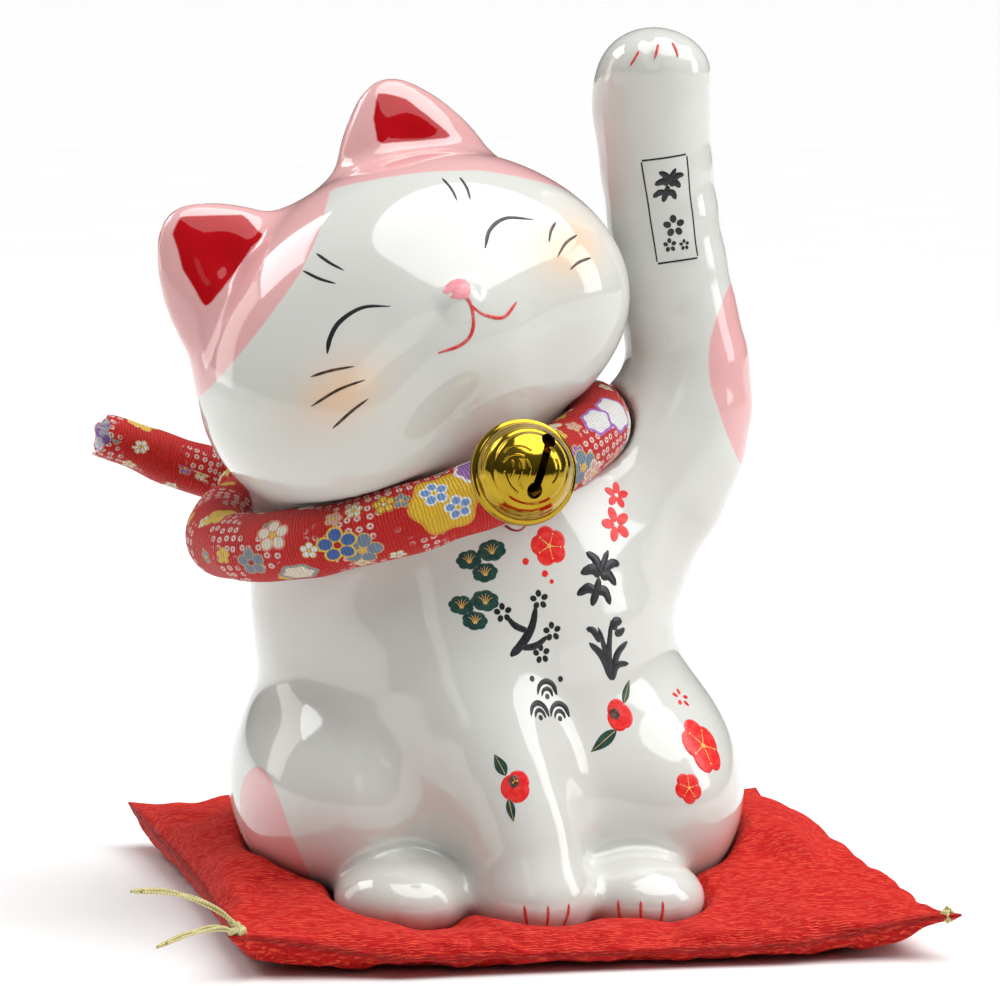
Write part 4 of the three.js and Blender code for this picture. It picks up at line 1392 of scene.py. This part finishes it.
def slot_cutter():
    """A prism through the bell's face with the slot's outline, leaning as the slot does."""
    cos, sin = on_circle(SLOT_TURN)
    ring = [(x * cos + z * sin + SLOT_PLACE[0], z * cos - x * sin + SLOT_PLACE[1])
            for x, z in slot_outline()]
    count = len(ring)
    points = [(x * MM, y * MM, z * MM) for y in (-20, -4) for x, z in ring]
    faces = [(i, count + i, count + (i + 1) % count, (i + 1) % count) for i in range(count)]
    faces += [tuple(range(count)), tuple(range(count, 2 * count))[::-1]]
    mesh = bpy.data.meshes.new("slot")
    mesh.from_pydata(points, [], faces)
    tool = bpy.data.objects.new("slot", mesh)
    bpy.context.scene.collection.objects.link(tool)
    return tool


def make_bell():
    gold = gold_material("polished_gold")
    front = mesh_piece("bell_front", bell_dome(-1), "bell", smooth=False)
    tool = slot_cutter()
    cut = front.modifiers.new("slot", "BOOLEAN")
    cut.object, cut.operation, cut.solver = tool, "DIFFERENCE", "EXACT"
    bevel = front.modifiers.new("soft_edge", "BEVEL")
    bevel.width, bevel.segments, bevel.angle_limit = 0.22 * MM, 2, math.radians(50)
    bake(front)
    bpy.data.objects.remove(tool)
    move_to_bell(front)
    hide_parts("bell_front_shell")
    points, faces = bell_dome(1)
    back = mesh_piece("bell_back", (bell_frame(points), faces), "bell")
    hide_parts("bell_back_shell")
    put_on(front, gold)
    put_on(back, gold)
    parts = []
    for scroll in RELIEF:
        flat = smooth_line([(x, 0, z) for x, z in scroll], 24)
        reach = np.hypot(flat[:, 0], flat[:, 2])
        grooves = [turned_groove(r) for r in reach]
        flat[:, 1] = -BELL_GAP - np.sqrt(BELL_RADIUS ** 2 - reach ** 2) + grooves
        parts.append(swept(flat, 0.34, 8, (0, -1, 0)))
    points, faces, _ = joined(parts)
    relief = mesh_piece("bell_relief", (bell_frame(points), faces), "bell")
    put_on(relief, gold)
    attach(relief, "bell")
    loop = ring_line(np.array([0, BELL_RADIUS + 2.1, 0.0]), (1, 0, 0), (2.1, 2.1), 0, 360, 49)[:-1]
    points, faces, _ = swept(loop, 0.5, 12, (1, 0, 0), closed=True)
    eye = mesh_piece("bell_eye", (bell_frame(points), faces), "bell")
    put_on(eye, gold)
    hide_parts("bell_loop")
    steel = Shader("pellet_steel", Metallic=1.0)
    mottle = steel.noise(steel.where(), 0.8, 3)
    put_on(bpy.data.objects["bell_pellet"], steel.finish(
        Base_Color=steel.mix(mottle, (0.42, 0.40, 0.38), (0.62, 0.61, 0.60)),
        Roughness=steel.times_plus(mottle, 0.2, 0.2)))


def slot_outline():
    """A slit with a round eye at each end."""
    half = SLOT_WIDTH / 2
    start = math.degrees(math.asin(half / SLOT_EYE))
    ring = []
    for end, first in ((1, -90 + start), (-1, 90 + start)):
        for angle in np.radians(np.linspace(first, first + 360 - 2 * start, 28)):
            ring.append((SLOT_EYE * math.cos(angle), end * SLOT_HALF + SLOT_EYE * math.sin(angle)))
    return ring


def bake(obj):
    """Replaces the object's mesh with what its modifiers make."""
    graph = bpy.context.evaluated_depsgraph_get()
    made = bpy.data.meshes.new_from_object(obj.evaluated_get(graph))
    obj.modifiers.clear()
    old = obj.data
    obj.data = made
    made.polygons.foreach_set("use_smooth", [True] * len(made.polygons))
    bpy.data.meshes.remove(old)


def move_to_bell(obj):
    points = np.empty(len(obj.data.vertices) * 3, np.float32)
    obj.data.vertices.foreach_get("co", points)
    moved = bell_frame(points.reshape(-1, 3) / MM) * MM
    obj.data.vertices.foreach_set("co", moved.astype(np.float32).ravel())
    obj.data.update()


def thread_material(name, dark, light, pitch=1.0):
    """Twisted cotton: fine strands that wind round the cord."""
    s = Shader(name, Sheen_Weight=0.3, Sheen_Roughness=0.5, Roughness=0.85)
    flat = s.cloth_map()
    along, around = s.split(flat)[:2]
    twist = s.wave(s.plus(along, around), 6.28 / pitch)
    fuzz = s.noise(s.where(), 1.2, 3)
    share = s.math("MULTIPLY_ADD", twist, 0.3, s.times(fuzz, 0.7), clamp=True)
    return s.finish(Base_Color=s.mix(share, dark, light), Normal=s.bump(twist, 0.15, 0.8))


def make_tie():
    """The thread that ties the bell on goes round the collar and through the bell's eye."""
    parts = []
    for k in range(2):
        line = ring_line(COLLAR_AT_BELL, TIE_TANGENT, (LOOP_REACH, LOOP_REACH), 51.3 * k, 360, 121)
        swing = 2 * full_turn(120)[:, None]
        line = line[:-1] + 0.18 * TIE_TANGENT * np.sin(swing + k * np.pi)
        parts.append(swept(line, 0.27, 8, TIE_TANGENT, closed=True))
    tie = mesh_piece("bell_thread", joined(parts), "cat")
    put_on(tie, thread_material("red_thread", (0.35, 0.008, 0.006), (0.62, 0.03, 0.02), 0.8))
    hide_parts("bell_tie")


# ------------------------------------------------------------------ the cushion

CUSHION_HALF, PULL_IN, SEAM_Z = 90.0, 4.0, 12.0


def cushion_plan(u, v):
    return u * (CUSHION_HALF - PULL_IN * (1 - v * v)), v * (CUSHION_HALF - PULL_IN * (1 - u * u))


def bulge(u, v, power):
    return np.sqrt(np.maximum(0, (1 - np.abs(u) ** power) * (1 - np.abs(v) ** power)))


def side_weights(u, v):
    """How much a point belongs to the front, right, left and back rolls; none at the corners."""
    across = np.clip((np.abs(u) - np.abs(v)) / 0.45, 0, 1)
    along = np.clip((np.abs(v) - np.abs(u)) / 0.45, 0, 1)
    return along * (v < 0), across * (u > 0), across * (u < 0), along * (v > 0)


def cushion_sheets(u, v):
    """The stuffed cover before anything sits on it: the top sheet, and the under sheet."""
    front, right, left, back = side_weights(u, v)
    x, y = cushion_plan(u, v)
    out = np.maximum(np.abs(u), np.abs(v))
    seam = SEAM_Z - 7 * front - 5 * right - 1.5 * left - 4 * back
    crown = 22 + 1.5 * front * np.cos(3 * u) - 1.5 * left
    belly = front * (7 - 3.5 * u) + 3 * right + 1.5 * left + 3 * back
    trodden = 17 * np.exp(-(((x + 3) / 42) ** 2)) * smoothstep(-35, -70, y)
    near = np.clip((out - 0.78) / 0.22, 0, 1)
    swing = np.sin(np.pi * 0.72 * near) * belly
    under_swing = np.sin(np.pi * 0.72) * belly * near ** 3
    top_z = seam + (crown - seam - trodden) * bulge(u, v, 5)
    tip = 2.6 * smoothstep(0.93, 1.0, np.abs(u)) * smoothstep(-0.93, -1.0, v)
    x, y = x + tip * np.sign(u), y + tip * np.sign(v)
    turned = np.maximum(0, 1 - bulge(u, v, 9) - 0.05) / 0.95
    under_z = (seam - 0.8) * turned ** 1.3 + 0.2
    aside = np.stack([(right - left), (back - front)], -1)
    plan = np.stack([x, y], -1)
    top = np.concatenate([plan + aside * swing[..., None], top_z[..., None]], -1)
    under = np.concatenate([plan + aside * under_swing[..., None], under_z[..., None]], -1)
    return top, under


def crepe_material():
    """Silk crepe: a pebbled ground with fine crinkled ribs that run across the front. The raised
    crinkles carry a painted highlight and their hollows painted shade.
    """
    s = Shader("crepe", Sheen_Weight=0.03, Sheen_Roughness=0.4, Specular_IOR_Level=0.14)
    place = s.where()
    y, z = s.split(place)[1:3]
    warp = s.times(s.minus(s.noise(place, 0.06, 2), 0.5), 4.0)
    fine = s.times(s.minus(s.noise(place, 0.45, 2), 0.5), 1.3)
    height = s.plus(s.times_plus(y, 0.75, z), s.plus(warp, fine))
    ribs = s.times_plus(s.wave(height, 7.0), 0.5, 0.5)
    dashes = s.step(0.36, 0.6, s.noise(s.vector("MULTIPLY", place, (0.35, 1.2, 1.2)), 0.8, 2))
    ribs = s.times(ribs, dashes)
    stretched = s.vector("MULTIPLY", place, (0.55, 1.3, 1.3))
    cells = {"Vector": stretched, "Scale": 0.9, "Randomness": 0.9}
    pebbles = s.node("ShaderNodeTexVoronoi", cells).outputs["Distance"]
    grain = s.noise(stretched, 1.1, 3, 0.6)
    crinkle = s.plus(s.times(ribs, 0.5), s.times(s.plus(pebbles, grain), 0.45))
    dye = s.noise(place, 0.02, 4)
    tint = s.mix(dye, (0.42, 0.003, 0.004), (0.57, 0.009, 0.006))
    # painted highlight: bright orange-red on the raised crinkles
    tint = s.mix(s.times(s.step(0.52, 0.95, crinkle), 0.85), tint, (0.84, 0.075, 0.04))
    # painted shade: dark red in the hollows between the crinkles
    tint = s.mix(s.times(s.step(0.48, 0.15, crinkle), 0.75), tint, (0.22, 0.002, 0.003))
    seam = s.step(1.0, 0.2, s.math("ABSOLUTE", s.value_of("seam")))
    tint = s.mix(s.times(seam, 0.3), tint, (0.16, 0.002, 0.003))
    relief = s.bump(crinkle, 0.5, 0.8)
    folds = s.bump(s.noise(place, 0.05, 3), 1.2, 0.3, relief)
    return s.finish(Base_Color=tint, Normal=folds, Roughness=s.times_plus(grain, 0.2, 0.55))


CUSHION_CELLS = 120                    # along each side of a sheet
SWELL_CAP = 4.0                        # millimetres
CLEAR = 99.0                           # stands for no cat over a point


def sewn_sheets(count):
    """Faces of two square grids, one over the other, joined along their edges."""
    faces = grid_faces(count, count)
    total = count * count
    faces = [face[::-1] for face in faces] + [tuple(i + total for i in face) for face in faces]
    last = count - 1
    rim = ([(i, 0) for i in range(last)] + [(last, j) for j in range(last)]
           + [(i, last) for i in range(last, 0, -1)] + [(0, j) for j in range(last, 0, -1)])
    rim = [i * count + j for i, j in rim]
    return faces + [(a, b, b + total, a + total) for a, b in zip(rim, rim[1:] + rim[:1])]


def cushion_shape():
    """Top and bottom sheets over one plan, sewn along their edge."""
    count = CUSHION_CELLS + 1
    line = np.linspace(-1, 1, count)
    line = 0.6 * line + 0.4 * np.sin(line * np.pi / 2)
    u, v = np.meshgrid(line, line, indexing="ij")
    top, under = (sheet.reshape(-1, 3) for sheet in cushion_sheets(u, v))
    points = np.vstack([top, under])
    out = np.maximum(np.abs(u), np.abs(v)).ravel()
    return points, outward(points, sewn_sheets(count)), np.concatenate([out, out]), count * count


def swell(points, faces, held, cap):
    """Runs the cloth under pressure, and gives where the points go, moved no more than cap."""
    mesh = bpy.data.meshes.new("swell")
    mesh.from_pydata((points * MM).tolist(), [], faces)
    obj = bpy.data.objects.new("swell", mesh)
    bpy.context.scene.collection.objects.link(obj)
    group = obj.vertex_groups.new(name="held")
    for i in np.nonzero(held > 0.01)[0]:
        group.add([int(i)], float(held[i]), "REPLACE")
    cloth = obj.modifiers.new("cloth", "CLOTH")
    cloth.settings.vertex_group_mass = "held"
    cloth.settings.use_pressure = True
    cloth.settings.uniform_pressure_force = 4
    cloth.settings.shrink_min = -0.05
    cloth.settings.effector_weights.gravity = 0
    cloth.settings.quality = 4
    cloth.collision_settings.use_collision = False
    scene = bpy.context.scene
    for number in range(1, 21):
        scene.frame_set(number)
    graph = bpy.context.evaluated_depsgraph_get()
    made = obj.evaluated_get(graph).to_mesh()
    moved = np.empty(len(points) * 3, np.float32)
    made.vertices.foreach_get("co", moved)
    scene.frame_set(1)
    bpy.data.objects.remove(obj)
    step = moved.reshape(-1, 3) / MM - points
    size = np.linalg.norm(step, axis=1, keepdims=True) + 1e-9
    return points + step * np.minimum(1, cap / size)


def lowest_skin(points):
    """The height of the cat's underside over each point, or a great height where there is none."""
    floor = np.full(len(points), CLEAR)
    column = points.copy()
    open_yet = np.ones(len(points), bool)
    for height in np.arange(3.0, 30.0, 0.5):
        column[:, 2] = height
        spots = np.nonzero(open_yet)[0]
        touched = spots[cut_foot(column[spots], whole_distance(column[spots])) < 0.6]
        floor[touched] = height - 0.4
        open_yet[touched] = False
    return floor


def press(points):
    """Lets the cat sink into the top sheet, which dips softly round it."""
    count = CUSHION_CELLS + 1
    ceiling = lowest_skin(points).reshape(count, count)
    height = points[:, 2].reshape(count, count).copy()
    free = height.copy()
    line = np.abs(np.linspace(-1, 1, count))
    stuffed = smoothstep(1.0, 0.9, np.maximum.outer(line, line))
    for _ in range(60):
        height = np.minimum(height, ceiling)
        around = (height[2:, 1:-1] + height[:-2, 1:-1] + height[1:-1, 2:] + height[1:-1, :-2]) / 4
        pull = around - height[1:-1, 1:-1] + 0.16 * (free - height)[1:-1, 1:-1]
        height[1:-1, 1:-1] += 0.8 * stuffed[1:-1, 1:-1] * pull
    points[:, 2] = np.minimum(height, ceiling).ravel()
    return points


def make_cushion():
    points, faces, out, total = cushion_shape()
    under = (np.arange(len(points)) >= total) & (points[:, 2] < 1.2)
    held = np.maximum(smoothstep(0.985, 1.0, out), under.astype(float))
    points = swell(points, faces, held, SWELL_CAP)
    points[:, 2] += cushion_folds(points, out) * (np.arange(len(points)) < total)
    points[:total] = press(points[:total])
    points[:, 2] = np.maximum(points[:, 2], 0.15)
    cushion = mesh_piece("crepe_cushion", (points, faces), "cushion")
    seam = np.minimum((1 - out) * 90, 20) * np.where(np.arange(len(points)) < total, 1, -1)
    attribute(cushion, "seam", seam)
    put_on(cushion, crepe_material())
    smooth = cushion.modifiers.new("smooth", "SUBSURF")
    smooth.levels = smooth.render_levels = 1
    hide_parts("cushion_top_panel", "cushion_under_panel")
    return points, total


def cushion_folds(points, out):
    """Low folds that fan in from the seam, strongest near the corners."""
    rng = np.random.default_rng(11)
    x, y = points[:, 0], points[:, 1]
    side = np.where(np.abs(x) > np.abs(y), y, x)
    edge = smoothstep(0.72, 0.93, out) * smoothstep(1.0, 0.965, out)
    total = np.zeros(len(points))
    for _ in range(10):
        total += rng.uniform(0.3, 1) * np.sin(side * rng.uniform(0.12, 0.55) + rng.uniform(0, 6.3))
    corner = smoothstep(0.35, 0.95, np.minimum(np.abs(x), np.abs(y)) / CUSHION_HALF)
    return edge * total * (0.17 + 0.32 * corner)


def inset_sheets(points, total):
    """Closed top and bottom sheets without the eight outer cells of the cushion's grid."""
    count = CUSHION_CELLS + 1
    kept = np.arange(total).reshape(count, count)[8:-8, 8:-8]
    sheets = np.concatenate([points[kept.ravel()], points[kept.ravel() + total]])
    return sheets, outward(sheets, sewn_sheets(len(kept)))


WADDING_GAP = 1.4


def make_wadding(cover, total):
    """The cotton wadding inside the cover, drawn in a little from it."""
    inner = cover.copy()
    middle = (cover[:total, 2] + cover[total:, 2]) / 2
    inner[:total, 2] = np.maximum(cover[:total, 2] - WADDING_GAP, middle + 0.1)
    inner[total:, 2] = np.minimum(cover[total:, 2] + WADDING_GAP, middle - 0.1)
    inner[total:, :2] *= 0.96
    wadding = mesh_piece("cotton_wadding", inset_sheets(inner, total), "cushion")
    s = Shader("wadding", Sheen_Weight=0.4, Roughness=0.95)
    fluff = s.noise(s.where(), 0.4, 5)
    put_on(wadding, s.finish(Base_Color=s.mix(fluff, (0.75, 0.71, 0.62), (0.9, 0.88, 0.82)),
                             Normal=s.bump(fluff, 1.0, 0.8)))
    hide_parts("cushion_filling")


# ------------------------------------------------------------------ corner threads

TASSEL_UPPER = [(-92.2, -94, 15.6), (-97, -96, 19.6), (-103, -99, 22.9), (-109.3, -102.5, 25.2),
                (-117.6, -107.4, 26.4)]
TASSEL_LOWER = [(-92.4, -95, 13.2), (-96, -99.5, 15.2), (-101, -105, 16), (-106, -110.5, 16.3),
                (-112.9, -117.4, 15.1)]


def make_tassel(name, stations, node):
    """Four cotton strands side by side; each pair turns back on itself in a loop at its end."""
    core = smooth_line(stations, 40)
    _, side, top = frames_along(core)
    share = np.linspace(0, 1, len(core))[:, None]
    spread = 0.55 + 0.25 * np.sin(share * 7 + len(name))
    parts = []
    for a, b, seed in ((1, 0.35, 0), (-1, -0.35, 1)):
        out = core + side * a * spread * 0.75 + top * 0.5 * np.sin(share * 5 + seed)
        back = core + side * b * spread * 0.6 + top * 0.45 * np.cos(share * 6 + seed)
        length = 39 if seed == 0 else 36
        turn = (out[length] + back[length]) / 2 + (core[-1] - core[-2]) * 0.9
        line = smooth_line(np.vstack([out[:length:3], turn[None], back[:length:3][::-1]]), 110)
        parts.append(swept(line, 0.36, 8))
    piece = mesh_piece(name, joined(parts), "cushion")
    put_on(piece, COTTON)
    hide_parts(node)
    length = float(arc_length(core)[-1]) * MM


COTTON = thread_material("cotton_thread", (0.56, 0.46, 0.15), (0.84, 0.81, 0.44))


def make_corner_knots():
    """Three turns of thread and one across them; the left knot also holds the two bundles."""
    for sign, node in ((-1, "corner_knot_left"), (1, "corner_knot_right")):
        centre = np.array([sign * 89.6, -89.6, 12.4 if sign < 0 else 11.2])
        away = np.array([sign, -1, 0]) / math.sqrt(2)
        parts = []
        for k, reach in enumerate((-0.9, 0.0, 0.9)):
            axis = away + (0, 0, 0.25 * (k - 1))
            line = ring_line(centre + away * reach, axis, (1.3, 1.15), 0, 360, 33)[:-1]
            parts.append(swept(line, 0.5, 8, away, closed=True))
        over = centre + np.array([[0, 0, -1.8], away * 2.0, [0, 0, 1.9], -away * 0.8])
        parts.append(swept(smooth_line(over, 30), 0.45, 8, (sign, 1, 0)))
        for end in (TASSEL_UPPER[0], TASSEL_LOWER[0]) if sign < 0 else ():
            root = smooth_line([centre, (centre + end) / 2 + (0, 0, 0.4), end], 12)
            parts.append(swept(root, 0.85, 10))
        knot = mesh_piece(node + "_wrap", joined(parts), "cushion")
        put_on(knot, COTTON)
        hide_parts(node)


# ------------------------------------------------------------------ the scene

camera()
make_tassel("thread_upper", TASSEL_UPPER, "tassel_upper")
make_tassel("thread_lower", TASSEL_LOWER, "tassel_lower")
make_corner_knots()
make_cat()
paint_cat()
make_collar()
make_knot()
make_tail("collar_end_right", RIGHT_TAIL, "collar_tail_right", 1, (TAIL_FLOWERS, TAIL_PATCHES))
make_tail("collar_end_back", BACK_TAIL, "collar_tail_back", 2, ((), ()))
make_bell()
make_tie()
make_wadding(*make_cushion())
studio()
